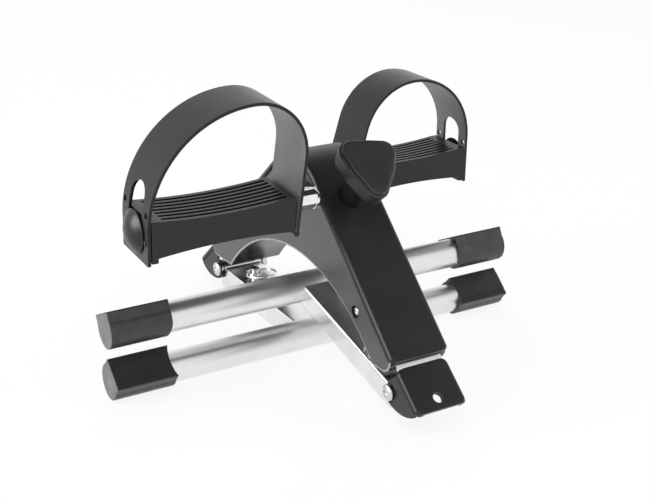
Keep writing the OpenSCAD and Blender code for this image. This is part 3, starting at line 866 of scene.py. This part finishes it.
class EXERCISER_OT_brackets(ExerciserOperator, bpy.types.Operator):
    """End brackets with their hinge bolts"""

    bl_idname = "exerciser.brackets"
    bl_label = "End brackets"

    face = (-0.0070, 0.0311)
    wall, flange, edge_r, end_r = 0.0025, 0.0053, 0.0030, 0.0046
    side_sunk, cheek_edge, shoulder = 0.0007, 0.0007, 0.003
    heel = ((-0.0035, 0.0069), (-0.006, -0.0066))
    belly_at, belly_r, belly_from = (0.0137, 0.0231), 0.0357, -123.6
    lock_u, lock_r, lock_reach = 0.022, 0.0042, 0.05
    sleeve_r, sleeve_deep, sleeve_sunk = 0.0062, 0.0042, 0.001
    lip_t, lip_deep, lip_sunk, lip_in, lip_edge = 0.0026, 0.0042, 0.0009, 0.0018, 0.0009
    seat_r, seat_deep, seat_past = 0.0083, 0.0006, 0.002
    bolt_end = ((0.005, 0.0034), (0.0044, 0.004))
    bolt_head = (
        (0.0, 0.004), (0.0, 0.0062), (0.0006, 0.0066), (0.0014, 0.0063), (0.0022, 0.0052),
        (0.0027, 0.0036), (0.0028, 0.0026), (0.0018, 0.0023), (0.0017, 0.0008),
    )
    head_gap = 0.0003

    def outline(self):
        """Side outline of a rear bracket's cheek, up to the inside of its face."""
        y, b = stand().hinge_y, body()
        top = b.bracket_d - self.wall / 2
        c, s = math.cos(b.bracket_slope), math.sin(b.bracket_slope)
        belly_y, belly_z = self.belly_at
        reach = belly_y * c - belly_z * s
        corner = self.face[1] - self.wall / 2
        stop = math.degrees(b.bracket_slope) + math.degrees(math.acos((corner - reach) / self.belly_r))
        return (
            [bracket_point(self.face[0] + self.shoulder, top)]
            + [(y + out, z) for out, z in self.heel]
            + arc((y + belly_y, belly_z), self.belly_r, self.belly_from, -stop, 28)[1:]
            + [bracket_point(corner, top)]
        )

    def cap_path(self, inset):
        """Line of the bracket's outer face."""
        d = body().bracket_d - inset
        lead = end_stations(self.end_r)
        run = [self.face[0] + e for e in lead] + [self.face[1] - e for e in reversed(lead)]
        return [bracket_point(u, d) for u in run]

    def lip(self, half):
        """The lip turned in along the cap's lower end."""
        face_d, stop = body().bracket_d, self.face[1]
        start, low, high = stop - self.lip_t, face_d - self.lip_deep, face_d - self.lip_sunk
        corners = ((start, low), (stop, low), (stop, high), (start, high))
        wide = half - self.lip_in
        return softened(prism([bracket_point(u, d) for u, d in corners], -wide, wide), self.lip_edge)

    def bracket(self, end):
        """One bracket: a rounded cap over two cheeks, with a lock hole through its face."""
        b = body()
        half = b.bracket_w / 2
        side = half - self.side_sunk
        cheeks, seats = [], []
        for sign in (-1, 1):
            span = sorted((sign * (half - self.wall), sign * side))
            cheeks.append(softened(prism(self.outline(), *span), self.cheek_edge))
            span = sorted((sign * (side - self.seat_deep), sign * (half + self.seat_past)))
            seats.append(rod(self.seat_r, *span, (stand().hinge_y, 0)))
        lock = Matrix.Translation((0, *bracket_point(self.lock_u, 0))) @ turn_x(-b.bracket_slope)
        lock = lock @ Matrix.Rotation(-math.pi / 2, 4, "Y")
        sleeve = rod(self.sleeve_r, b.bracket_d - self.sleeve_deep, b.bracket_d - self.sleeve_sunk)
        hole = rod(self.lock_r, 0, self.lock_reach)
        for tool in (sleeve, hole):
            tool.transform(lock)
        cap = channel(self.cap_path, half, self.edge_r, self.flange, self.wall, self.end_r)
        piece(
            f"{end}_end_bracket", cap, hinge_level() @ ENDS[end], "housing", "cover",
            [f"{end}_bracket"], joined(*cheeks, self.lip(half), sleeve) + cut(hole, *seats), crisp=40,
        )

    def bolt(self, end):
        """A domed hinge bolt."""
        half = body().bracket_w / 2
        out = -half - self.head_gap
        profile = [(half + x, r) for x, r in self.bolt_end] + [(out - x, r) for x, r in self.bolt_head]
        y = stand().hinge_y
        piece(
            f"{end}_bolt", turned(profile, 48, (-y if end == "front" else y, 0)), hinge_level(), "housing",
            "zinc", [f"{end}_hinge_bolt"], crisp=40,
        )

    def execute(self, context):
        for end in ENDS:
            self.bracket(end)
            self.bolt(end)
        return {"FINISHED"}


class EXERCISER_OT_legs(ExerciserOperator, bpy.types.Operator):
    """Folding legs of rounded box tube"""

    bl_idname = "exerciser.legs"
    bl_label = "Legs"

    wall, room_corner, room_past, edge = 0.0016, 0.0004, 0.01, 0.0012
    sleeve_r, bolt_hole_r = 0.008, 0.00405
    pin_hole_r, pin_holes = 0.00395, (0.022, 0.032)

    def leg(self, end):
        """One leg, with a sleeve for its bolt, two pin holes and a seat for its cross tube."""
        s, w = stand(), self.wall
        half, top, low = s.leg_w / 2, PIVOT_DOWN, PIVOT_DOWN - s.leg_h
        outside = rounded_box_line(-half, half, low, top, s.leg_corner)
        inner_r = s.leg_corner - w + self.room_corner
        inside = rounded_box_line(w - half, half - w, low + w, top - w, inner_r, 4)
        room = prism(inside, -self.room_past, tube_u() + self.room_past, "Y")
        holes = [
            rod(self.bolt_hole_r, -THROUGH, THROUGH),
            rod(s.tube_r + SNUG, -THROUGH, THROUGH, (tube_u(), -TUBE_DROP), 96),
        ]
        for u in self.pin_holes:
            hole = rod(self.pin_hole_r, -THROUGH, THROUGH, steps=32)
            hole.transform(Matrix.Translation((0, u, 0)) @ STOOD)
            holes.append(hole)
        piece(
            f"{end}_box_leg", softened(prism(outside, 0, tube_u(), "Y"), self.edge), leg_frame(end),
            f"{end}_leg_set", "leg", [f"{end}_leg"],
            cut(room) + joined(rod(self.sleeve_r, -half, half)) + cut(*holes), crisp=35,
        )

    def execute(self, context):
        for end in ENDS:
            self.leg(end)
        return {"FINISHED"}


class EXERCISER_OT_feet(ExerciserOperator, bpy.types.Operator):
    """Rubber foot caps with flat pads"""

    bl_idname = "exerciser.feet"
    bl_label = "Feet"

    pad_d, corner, edge = 0.0138, 0.0008, 0.0009
    grooves, groove_w, groove_deep = (0.0118, 0.0092), 0.0009, 0.0007
    horn, mouth, end_wall = 0.002, 0.0026, 0.003
    end_facing, end_skin, pad_skin = 0.97, 0.002, 0.0016

    def cap(self):
        """The cap: round below, flat on its pad, with two grooves along each edge of the pad."""
        s = stand()
        half, top, out = s.pad_w / 2, self.pad_d, s.stand_w / 2
        lean = math.degrees(math.acos(half / s.foot_r))
        right = [(half, top - self.corner), (half - self.corner, top)]
        w, floor = self.groove_w / 2, top - self.groove_deep
        for y in self.grooves:
            right += [(y + w, top), (y + w, floor), (y - w, floor), (y - w, top)]
        line = arc((0, 0), s.foot_r, 180 - lean, 360 + lean, 60) + right + [(-y, z) for y, z in right[::-1]]
        return softened(prism(line, out - s.foot_len - self.horn, out), self.edge)

    def mouth_cut(self):
        """A round bite out of the cap's open end, which leaves a horn at each edge of the pad."""
        s = stand()
        half = s.pad_w / 2
        r = (half**2 + self.mouth**2) / (2 * self.mouth)
        deepest = s.stand_w / 2 - s.foot_len - self.horn + self.mouth
        return prism(arc((deepest - r, 0), r, 0, 356, 89), -THROUGH, THROUGH, "Z")

    def foot(self, end, side):
        """One foot: the cap on its tube's end, its end face painted paler and its pad darker, as painted
        light and shade on one rubber.
        """
        s = stand()
        out = s.stand_w / 2
        place = Matrix.Translation((0, tube_u(), -TUBE_DROP)) @ turn_x(-body().bracket_slope)
        where = leg_frame(end) @ SIDES[side] @ place
        bore = rod(s.tube_r + SNUG, 0, out - self.end_wall, steps=64)
        obj = piece(
            f"{end}_{side}_foot_cap", self.cap(), where, f"{end}_leg_set", "foot",
            [f"{end}_{side}_foot"], cut(self.mouth_cut(), bore),
        )
        inward = where.inverted()

        # End faces get the pale painted light and the pad the darker rubber. The round sides keep the
        # lighter tone.
        def choose(polygon):
            """1 for the end face, 2 for the pad."""
            if abs(polygon.normal.x) > self.end_facing and abs(polygon.center.x) > out - self.end_skin:
                return 1
            return 2 if (inward @ polygon.center).z > self.pad_d - self.pad_skin else 0

        repainted(obj, ("foot_end_painted_light", "foot_pad"), choose)

    def execute(self, context):
        for end in ENDS:
            for side in SIDES:
                self.foot(end, side)
        return {"FINISHED"}


class EXERCISER_OT_pins(ExerciserOperator, bpy.types.Operator):
    """Split rings on the lock pins"""

    bl_idname = "exerciser.pins"
    bl_label = "Pin rings"

    ring_r, wire, pitch = 0.014, 0.0007, 2.05
    steps, turns = 64, 2
    park_u, lift, tilt = 0.032, 0.003, 10.0

    def execute(self, context):
        last = self.steps * self.turns
        path = []
        for i in range(last + 1):
            a = 2 * math.pi * i / self.steps
            climb = self.pitch * self.wire * (i / last - 0.5)
            path.append((self.ring_r * math.cos(a), self.ring_r * math.sin(a), climb))
        for end in ENDS:
            pivot = leg_frame(end) @ Matrix.Translation((0, self.park_u, PIVOT_DOWN + self.lift))
            where = pivot @ turn_x(math.radians(self.tilt)) @ Matrix.Translation((0, self.ring_r, 0))
            piece(
                f"{end}_split_ring", swept(path, self.wire), where, f"{end}_ring",
                "chrome", [f"{end}_pin_ring"],
            )
        return {"FINISHED"}


class EXERCISER_OT_cranks(ExerciserOperator, bpy.types.Operator):
    """Polished cranks"""

    bl_idname = "exerciser.cranks"
    bl_label = "Cranks"

    inner, outer, edge = 0.035, 0.040, 0.0014
    hub_r, eye_r, arm_w = 0.013, 0.0084, 0.016
    axle_hole_r, spindle_hole_r, hole_reach = 0.00802, 0.00402, 0.05
    dome = ((0.0, 0.45), (0.0006, 0.68), (0.0014, 0.84), (0.0026, 0.96), (0.004, 1.0))

    def execute(self, context):
        p = pedals()
        tip = (p.crank_len * math.cos(p.crank_rise), -p.crank_len * math.sin(p.crank_rise))
        axle = Matrix.Translation((0, 0, hinge_z() + p.axle_z))
        for side in SIDES:
            arm = block((self.inner, 0, -self.arm_w / 2), (self.outer, p.crank_len, self.arm_w / 2))
            arm.transform(turn_x(-p.crank_rise))
            profile = [(self.inner + x, self.eye_r * r) for x, r in self.dome] + [(self.outer, self.eye_r)]
            tools = joined(turned(profile, 64, tip), arm)
            tools += cut(
                rod(self.axle_hole_r, 0, self.hole_reach, steps=48),
                rod(self.spindle_hole_r, 0, self.hole_reach, tip, 32),
            )
            where = axle @ (turn_x(math.pi) @ MIRROR_X if side == "left" else Matrix())
            piece(
                f"{side}_crank_arm", rod(self.hub_r, self.inner, self.outer, steps=72), where, "crank",
                "chrome", [f"{side}_crank"], tools, self.edge,
            )
        return {"FINISHED"}


class EXERCISER_OT_pedals(ExerciserOperator, bpy.types.Operator):
    """Pedal blocks with grooved treads, end plates and caps"""

    bl_idname = "exerciser.pedals"
    bl_label = "Pedals"

    edge, spindle_hole_r, spindle_past = 0.0006, 0.00605, 0.01
    grooves, groove_w, groove_step, groove_deep, margin = 7, 0.0026, 0.0058, 0.0045, 0.005
    lip_low, lip_half, lip_in = -0.01822, 0.010, 0.003
    lip_steps = ((0.006, 0.0032), (0.0007, 0.0062))
    plate_t, plate_drop, plate_sunk, plate_corner, plate_edge = 0.0047, 0.0035, 0.0004, 0.009, 0.0005
    peg_r, peg_from, peg_past, pegs = 0.0021, 0.002, 0.0042, ((-0.0185, -0.002), (0.0185, -0.002))
    cap_r, cap_t, cap_gap = 0.0165, 0.0072, 0.0034
    cap_foot = ((-0.003, 0.011), (0.0, 0.011), (0.0, 0.0161), (0.0006, 0.0165))
    dome_from, dome_steps, dome_tip = 0.0012, 16, 0.0002

    def block_outline(self):
        """Long section of a block, with its sagging tread and arched underside."""
        p = pedals()
        x0, x1, top = p.pedal_in, p.pedal_in + p.pedal_len, p.pedal_h / 2
        half, middle, steps = p.pedal_len / 2, p.pedal_in + p.pedal_len / 2, 28
        line = []
        for edge, sign, rise in ((1, -1, p.tread_sag), (-1, 1, p.belly_rise)):
            for i in range(steps + 1):
                x = x0 + (x1 - x0) * (i if sign > 0 else steps - i) / steps
                line.append((x, edge * (top - rise * (1 - ((x - middle) / half) ** 2))))
        return line

    def block(self, side):
        """The block, its grooves and the lip that holds the strap's foot."""
        p = pedals()
        half, out = p.pedal_d / 2, p.pedal_in + p.pedal_len
        floor = p.pedal_h / 2 - self.groove_deep - p.tread_sag
        lips, grooves = [], []
        for reach, tall in self.lip_steps:
            far = (p.pedal_in + self.lip_in, self.lip_half, self.lip_low + tall)
            lips.append(block((p.pedal_in - reach, -self.lip_half, self.lip_low), far))
        for i in range(self.grooves):
            y = (i - (self.grooves - 1) / 2) * self.groove_step
            far = (out - self.margin, y + self.groove_w / 2, THROUGH)
            grooves.append(block((p.pedal_in + self.margin, y - self.groove_w / 2, floor), far))
        hole = rod(self.spindle_hole_r, 0, out + self.spindle_past, steps=32)
        piece(
            f"{side}_pedal_block", prism(self.block_outline(), -half, half, "Y"), pedal_frame(side),
            f"{side}_pedal_set", "pedal", [f"{side}_pedal"],
            joined(*lips) + cut(*grooves, hole), self.edge, 2,
        )

    def plate(self, side):
        """The end plate that carries the strap, rounded at its lower back corner."""
        p = pedals()
        half, x0 = p.pedal_d / 2, p.pedal_in + p.pedal_len - self.plate_sunk
        top, low, r = p.pedal_h / 2, -p.pedal_h / 2 - self.plate_drop, self.plate_corner
        line = [(-half, top), (-half, low)] + arc((half - r, low + r), r, 270, 360, 10) + [(half, top)]
        span = (x0 + self.peg_from, x0 + self.plate_t + self.peg_past)
        pegs = [rod(self.peg_r, *span, spot, 24) for spot in self.pegs]
        piece(
            f"{side}_pedal_plate", prism(line, x0, x0 + self.plate_t + self.plate_sunk), pedal_frame(side),
            f"{side}_pedal_set", "pedal", (), joined(*pegs), self.plate_edge,
        )

    def cap(self, side):
        """The domed cap over the spindle nut."""
        p = pedals()
        base = p.pedal_in + p.pedal_len + self.plate_t + self.cap_gap
        dome = (self.cap_r**2 + self.cap_t**2) / (2 * self.cap_t)
        profile = [(base + x, r) for x, r in self.cap_foot]
        for i in range(self.dome_steps + 1):
            x = self.dome_from + (self.cap_t - self.dome_from) * i / self.dome_steps
            r = math.sqrt(max(dome**2 - (x + dome - self.cap_t) ** 2, self.dome_tip**2))
            profile.append((base + x, r))
        piece(
            f"{side}_pedal_button", turned(profile, 72), pedal_frame(side), f"{side}_pedal_set",
            "pedal", [f"{side}_pedal_cap"],
        )

    def execute(self, context):
        for side in SIDES:
            self.block(side)
            self.plate(side)
            self.cap(side)
        return {"FINISHED"}


class EXERCISER_OT_straps(ExerciserOperator, bpy.types.Operator):
    """Flexible straps over the pedals"""

    bl_idname = "exerciser.straps"
    bl_label = "Straps"

    # Each strap's apex, inner shoulder, top and knee
    lines = {
        "left": (0.1005, 0.0575, 0.090, 0.0603),
        "right": (0.124, 0.071, 0.0845, 0.064),
    }
    outer_gap, outer_low, knee_z, foot_x, foot_z = 0.0053, -0.019, 0.015, 0.0633, -0.015
    slot_r, slot_top, cut_back, cut_past = 0.0115, 0.026, 0.012, 0.02
    hole_r, holes = 0.0024, ((-0.0185, 0.018), (0.0185, 0.018), (-0.0185, -0.002), (0.0185, -0.002))
    spindle_hole_r, spindle_past, edge, edge_facing = 0.007, 0.001, 0.0006, 0.3
    bead_at, bead_r, bead_end_r, bead_edge = (0.0647, 0, -0.0165), 0.0024, 0.0014, 0.0008

    def outline(self, apex, shoulder, top, knee):
        """Outline of a strap in (X, Z), from its outer end over the top to its inner foot."""
        p = pedals()
        t, knee_z, foot_x, foot_z = p.strap_t, self.knee_z, self.foot_x, self.foot_z
        outer = p.pedal_in + p.pedal_len + self.outer_gap + t
        out_r, in_r = outer - apex, apex - shoulder
        out_c, in_c = (apex, top - out_r), (apex, top - in_r)
        dx, dz = knee - in_c[0], knee_z - in_c[1]
        turn = 360 + math.degrees(math.atan2(dz, dx) - math.acos(in_r / math.hypot(dx, dz)))
        lean = -t * math.sin(math.radians(turn)) / 2
        return (
            [(outer, self.outer_low)]
            + arc(out_c, out_r, 0, 90, 36)
            + arc(in_c, in_r, 90, turn, 32)[1:]
            + [(knee, knee_z), (foot_x, foot_z), (foot_x + t, foot_z), (knee + t, knee_z + lean)]
            + arc(in_c, in_r - t, turn, 90, 32)
            + arc(out_c, out_r - t, 90, 0, 36)[1:]
            + [(outer - t, self.outer_low)]
        )

    def strap(self, side):
        """One strap, with its window, peg holes and an inside painted light grey as a reflection."""
        p, sizes = pedals(), self.lines[side]
        half, out = p.strap_w / 2, p.pedal_in + p.pedal_len
        span = (out - self.cut_back, out + self.cut_past)
        window = arc((0, self.slot_top), self.slot_r, 0, 180, 32) + arc((0, 0), self.slot_r, 180, 360, 32)
        holes = [rod(self.hole_r, *span, spot, 24) for spot in self.holes]
        spindle = rod(self.spindle_hole_r, 0, p.pedal_in + self.spindle_past, steps=32)
        obj = piece(
            f"{side}_foot_strap", prism(self.outline(*sizes), -half, half, "Y"), pedal_frame(side),
            f"{side}_pedal_set", "strap", [f"{side}_strap"],
            cut(prism(window, *span), *holes, spindle), self.edge,
        )
        middle = pedal_frame(side) @ Vector((sizes[0], 0, sizes[2] / 2))

        def choose(polygon):
            """1 for faces that look in over the foot."""
            inside = (polygon.center - middle).dot(polygon.normal) < 0
            return int(inside and abs(polygon.normal.y) < self.edge_facing)

        # Faces inside the strap get the light grey of the painted reflection.
        repainted(obj, ("strap_inside_painted_reflection",), choose)

    def bead(self, side):
        """The bead that holds a strap's foot under the pedal."""
        half = pedals().strap_w / 2
        end, edge = (half, self.bead_end_r), (half - self.bead_edge, self.bead_r)
        bm = turned([(-end[0], end[1]), (-edge[0], edge[1]), edge, end], 24)
        bm.transform(Matrix.Translation(self.bead_at) @ Matrix.Rotation(math.pi / 2, 4, "Z"))
        piece(f"{side}_strap_bead", bm, pedal_frame(side), f"{side}_pedal_set", "strap")

    def execute(self, context):
        for side in self.lines:
            self.strap(side)
            self.bead(side)
        return {"FINISHED"}


class EXERCISER_OT_knob(ExerciserOperator, bpy.types.Operator):
    """Three-lobed tension knob"""

    bl_idname = "exerciser.knob"
    bl_label = "Tension knob"

    lobe_at, tail_at, tail_less = (0.013, 0.0135), (0.0, -0.016), 0.001
    waist, waist_at, rim_points = 0.0205, (0.0, 0.0045), 120
    hub_r, hub_from, skin = 0.0075, 0.0035, 0.0001
    # (Radius added, height) of the hub from its foot and from the head, then (inset, height) of the head's
    # wall from its underside and of its stepped face from the top
    hub_foot = ((-0.0006, 0.0), (0.0, 0.0006))
    hub_root = ((0.0, -0.002), (0.0006, -0.0006), (0.0018, 0.0))
    wall = ((0.0058, 0.0), (0.0034, 0.0002), (0.0024, 0.0008), (0.0020, 0.0022))
    face = (
        (0.0, -0.0046), (0.0002, -0.0038), (0.0008, -0.0033), (0.0016, -0.0032), (0.0017, -0.0027),
        (0.0017, -0.0015), (0.0019, -0.0008), (0.0024, -0.0003), (0.0032, -0.00008), (0.0060, 0.0),
    )

    def rim(self):
        """Outline of the head: two lobes, a tail and the waist between them."""
        r, (x, y) = knob().lobe_r, self.lobe_at
        points = arc((x, y), r, 0, 360, 90) + arc((-x, y), r, 0, 360, 90)
        points += arc(self.tail_at, r - self.tail_less, 0, 360, 90)
        points += arc(self.waist_at, self.waist, 0, 360, 120)
        return even_line(convex_line(points), self.rim_points)

    def execute(self, context):
        k, rim = knob(), self.rim()
        top, low = k.knob_top, k.knob_top - k.knob_t
        angles = [math.atan2(q.y, q.x) for q in rim]
        hub = [(self.hub_r + more, self.hub_from + z) for more, z in self.hub_foot]
        hub += [(self.hub_r + more, low + z) for more, z in self.hub_root]
        head = [(inset, low + z) for inset, z in self.wall] + [(inset, top + z) for inset, z in self.face]
        rings = [[(r * math.cos(a), r * math.sin(a), z) for a in angles] for r, z in hub]
        rings += [[(q.x, q.y, z) for q in drawn_in(rim, inset)] for inset, z in head]
        where = knob_frame() @ Matrix.Rotation(k.knob_turn, 4, "Z")
        obj = piece(
            "knob_head", lofted(rings), where, "knob", "knob", ["tension_knob"], crisp=60,
        )
        # The head's underside and its hub are painted near black as shade under the knob.
        inward = where.inverted()
        repainted(obj, ("bush",), lambda polygon: int((inward @ polygon.center).z < low + self.skin))
        return {"FINISHED"}


class EXERCISER_OT_plain(ExerciserOperator, bpy.types.Operator):
    """Finishes on the solids that show as they are"""

    bl_idname = "exerciser.plain"
    bl_label = "Plain solids"

    kept = {
        "tube": ("front_cross_tube", "rear_cross_tube"),
        "leg": ("inner_frame",),
        # The tension collar takes the near-black bush plastic as painted shade under the knob. The axle
        # bushes take it as their own colour.
        "bush": ("left_axle_bush", "right_axle_bush", "tension_collar"),
        "chrome": (
            "left_pedal_spindle", "right_pedal_spindle", "crank_axle", "left_crank_bolt", "right_crank_bolt",
        ),
        "zinc": (
            "front_hinge_nut", "rear_hinge_nut", "front_lock_pin", "rear_lock_pin", "band_anchor_pin",
            "tension_screw", "left_spindle_nut", "right_spindle_nut",
        ),
        "felt": ("brake_band",),
        "iron": ("brake_drum",),
        "brass": ("tension_nut",),
    }

    def execute(self, context):
        for key, names in self.kept.items():
            for name in names:
                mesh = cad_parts[name].data
                mesh.materials.clear()
                mesh.materials.append(dressed(key))
        return {"FINISHED"}


class EXERCISER_OT_stage(ExerciserOperator, bpy.types.Operator):
    """Pale floor, soft light and the camera"""

    bl_idname = "exerciser.stage"
    bl_label = "Stage"

    camera_at = (-0.4792, -0.8218, 0.45015)
    camera_tip, camera_turn = 69.18, -30.74
    lens, sensor, near = 66.92, 36.0, 0.01
    floor_w, floor_z, floor_clear = 24, -0.0002, 0.86
    card_w, card_at, card_grey = 3.4, (0.2, 0.1, 2.3), 0.02
    fill_grey = 0.45
    # Name, place, width and power of each lamp, the point they face, and the one that only gloss shows
    lamps = (
        ("key_lamp", (-0.9, -1.3, 1.9), 1.6, 26.0),
        ("side_lamp", (-1.8, 0.4, 0.9), 1.4, 16.0),
        ("fill_lamp", (1.7, -0.9, 1.2), 1.4, 12.0),
        ("back_lamp", (0.5, 1.7, 1.6), 1.4, 14.0),
        ("edge_lamp", (-1.9, 0.3, 1.0), 1.6, 48.0),
    )
    aim, gloss_lamp = (0, 0, 0.10), "edge_lamp"

    def plane(self, name, width, place):
        """A flat stage piece with an empty node material, and that material's tree."""
        bpy.ops.mesh.primitive_plane_add(size=width, location=place)
        obj = bpy.context.object
        obj.name = name
        material = bpy.data.materials.new(name)
        material.use_nodes = True
        obj.data.materials.append(material)
        return obj, material.node_tree

    def shown(self, tree, output, fill, white, share):
        """Gives what the camera, a reflection or a clear piece sees a share of the second shader."""
        nodes, link = tree.nodes, tree.links.new
        path = nodes.new("ShaderNodeLightPath").outputs
        seen = path["Is Camera Ray"]
        for ray in ("Is Glossy Ray", "Is Transmission Ray"):
            either = nodes.new("ShaderNodeMath")
            either.operation = "MAXIMUM"
            link(seen, either.inputs[0])
            link(path[ray], either.inputs[1])
            seen = either.outputs[0]
        part = nodes.new("ShaderNodeMath")
        part.operation = "MULTIPLY"
        link(seen, part.inputs[0])
        part.inputs[1].default_value = share
        mix = nodes.new("ShaderNodeMixShader")
        for socket, source in zip(mix.inputs, (part, fill, white)):
            link(source.outputs[0], socket)
        link(mix.outputs[0], nodes.new(output).inputs["Surface"])

    def floor(self):
        """A pale floor that keeps a soft shadow and lets the white world and the unfolded legs show."""
        _, tree = self.plane("studio_floor", self.floor_w, (0, 0, self.floor_z))
        tree.nodes.clear()
        plain = tree.nodes.new("ShaderNodeBsdfDiffuse")
        plain.inputs["Color"].default_value = (*finish().floor, 1)
        clear = tree.nodes.new("ShaderNodeBsdfTransparent")
        self.shown(tree, "ShaderNodeOutputMaterial", plain, clear, self.floor_clear)

    def ceiling(self):
        """A dark card over the part, which only reflections see."""
        obj, tree = self.plane("ceiling_card", self.card_w, self.card_at)
        obj.visible_camera = obj.visible_diffuse = obj.visible_shadow = False
        obj.visible_transmission = False
        shader = tree.nodes["Principled BSDF"]
        shader.inputs["Base Color"].default_value = (*[self.card_grey] * 3, 1)
        shader.inputs["Roughness"].default_value = 1.0

    def backdrop(self):
        """A white world for what is seen, and a soft grey one for fill light."""
        world = bpy.data.worlds.new("studio_world")
        world.use_nodes = True
        tree = world.node_tree
        tree.nodes.clear()
        fill, white = (tree.nodes.new("ShaderNodeBackground") for _ in range(2))
        fill.inputs["Color"].default_value = (*[self.fill_grey] * 3, 1)
        white.inputs["Color"].default_value = (1, 1, 1, 1)
        self.shown(tree, "ShaderNodeOutputWorld", fill, white, 1.0)
        bpy.context.scene.world = world

    def lamp(self, name, place, width, power):
        """One round soft lamp."""
        light = bpy.data.lights.new(name, "AREA")
        light.shape, light.size, light.energy = "DISK", width, power
        lamp = bpy.data.objects.new(name, light)
        lamp.location = place
        lamp.rotation_euler = (Vector(self.aim) - Vector(place)).to_track_quat("-Z", "Y").to_euler()
        lamp.visible_glossy = name == self.gloss_lamp
        lamp.visible_diffuse = not lamp.visible_glossy
        bpy.context.scene.collection.objects.link(lamp)

    def camera(self):
        """The camera at the photograph's place."""
        scene = bpy.context.scene
        camera = bpy.data.objects.new("photo_camera", bpy.data.cameras.new("photo_camera"))
        camera.data.sensor_width, camera.data.lens = self.sensor, self.lens
        camera.data.clip_start = self.near
        camera.location = self.camera_at
        camera.rotation_euler = Euler((math.radians(self.camera_tip), 0, math.radians(self.camera_turn)))
        scene.collection.objects.link(camera)
        scene.camera = camera

    def execute(self, context):
        bpy.context.scene.view_settings.view_transform = "Standard"
        self.floor()
        self.ceiling()
        self.backdrop()
        for lamp in self.lamps:
            self.lamp(*lamp)
        self.camera()
        return {"FINISHED"}


OPERATORS = (
    EXERCISER_OT_stage,
    EXERCISER_OT_body,
    EXERCISER_OT_brackets,
    EXERCISER_OT_legs,
    EXERCISER_OT_feet,
    EXERCISER_OT_pins,
    EXERCISER_OT_cranks,
    EXERCISER_OT_pedals,
    EXERCISER_OT_straps,
    EXERCISER_OT_knob,
    EXERCISER_OT_plain,
)


class EXERCISER_PT_panel(bpy.types.Panel):
    """Lists the exerciser's sizes, colours and pieces"""

    bl_idname = "EXERCISER_PT_panel"
    bl_label = "Pedal exerciser"
    bl_space_type = "VIEW_3D"
    bl_region_type = "UI"
    bl_category = "Exerciser"

    def draw(self, context):
        for operator in OPERATORS:
            self.layout.operator(operator.bl_idname)
        for name, group in GROUPS.items():
            box = self.layout.box()
            for key in group.__annotations__:
                box.prop(getattr(context.scene, name), key)


def register():
    """Registers the classes and their settings."""
    for name, group in GROUPS.items():
        bpy.utils.register_class(group)
        setattr(bpy.types.Scene, name, PointerProperty(type=group))
    for cls in (*OPERATORS, EXERCISER_PT_panel):
        bpy.utils.register_class(cls)


def unregister():
    """Takes the classes and their settings out again."""
    for cls in (EXERCISER_PT_panel, *reversed(OPERATORS)):
        bpy.utils.unregister_class(cls)
    for name, group in reversed(list(GROUPS.items())):
        delattr(bpy.types.Scene, name)
        bpy.utils.unregister_class(group)


def main():
    register()
    for operator in OPERATORS:
        group, name = operator.bl_idname.split(".")
        getattr(getattr(bpy.ops, group), name)()


if __name__ == "__main__":
    main()
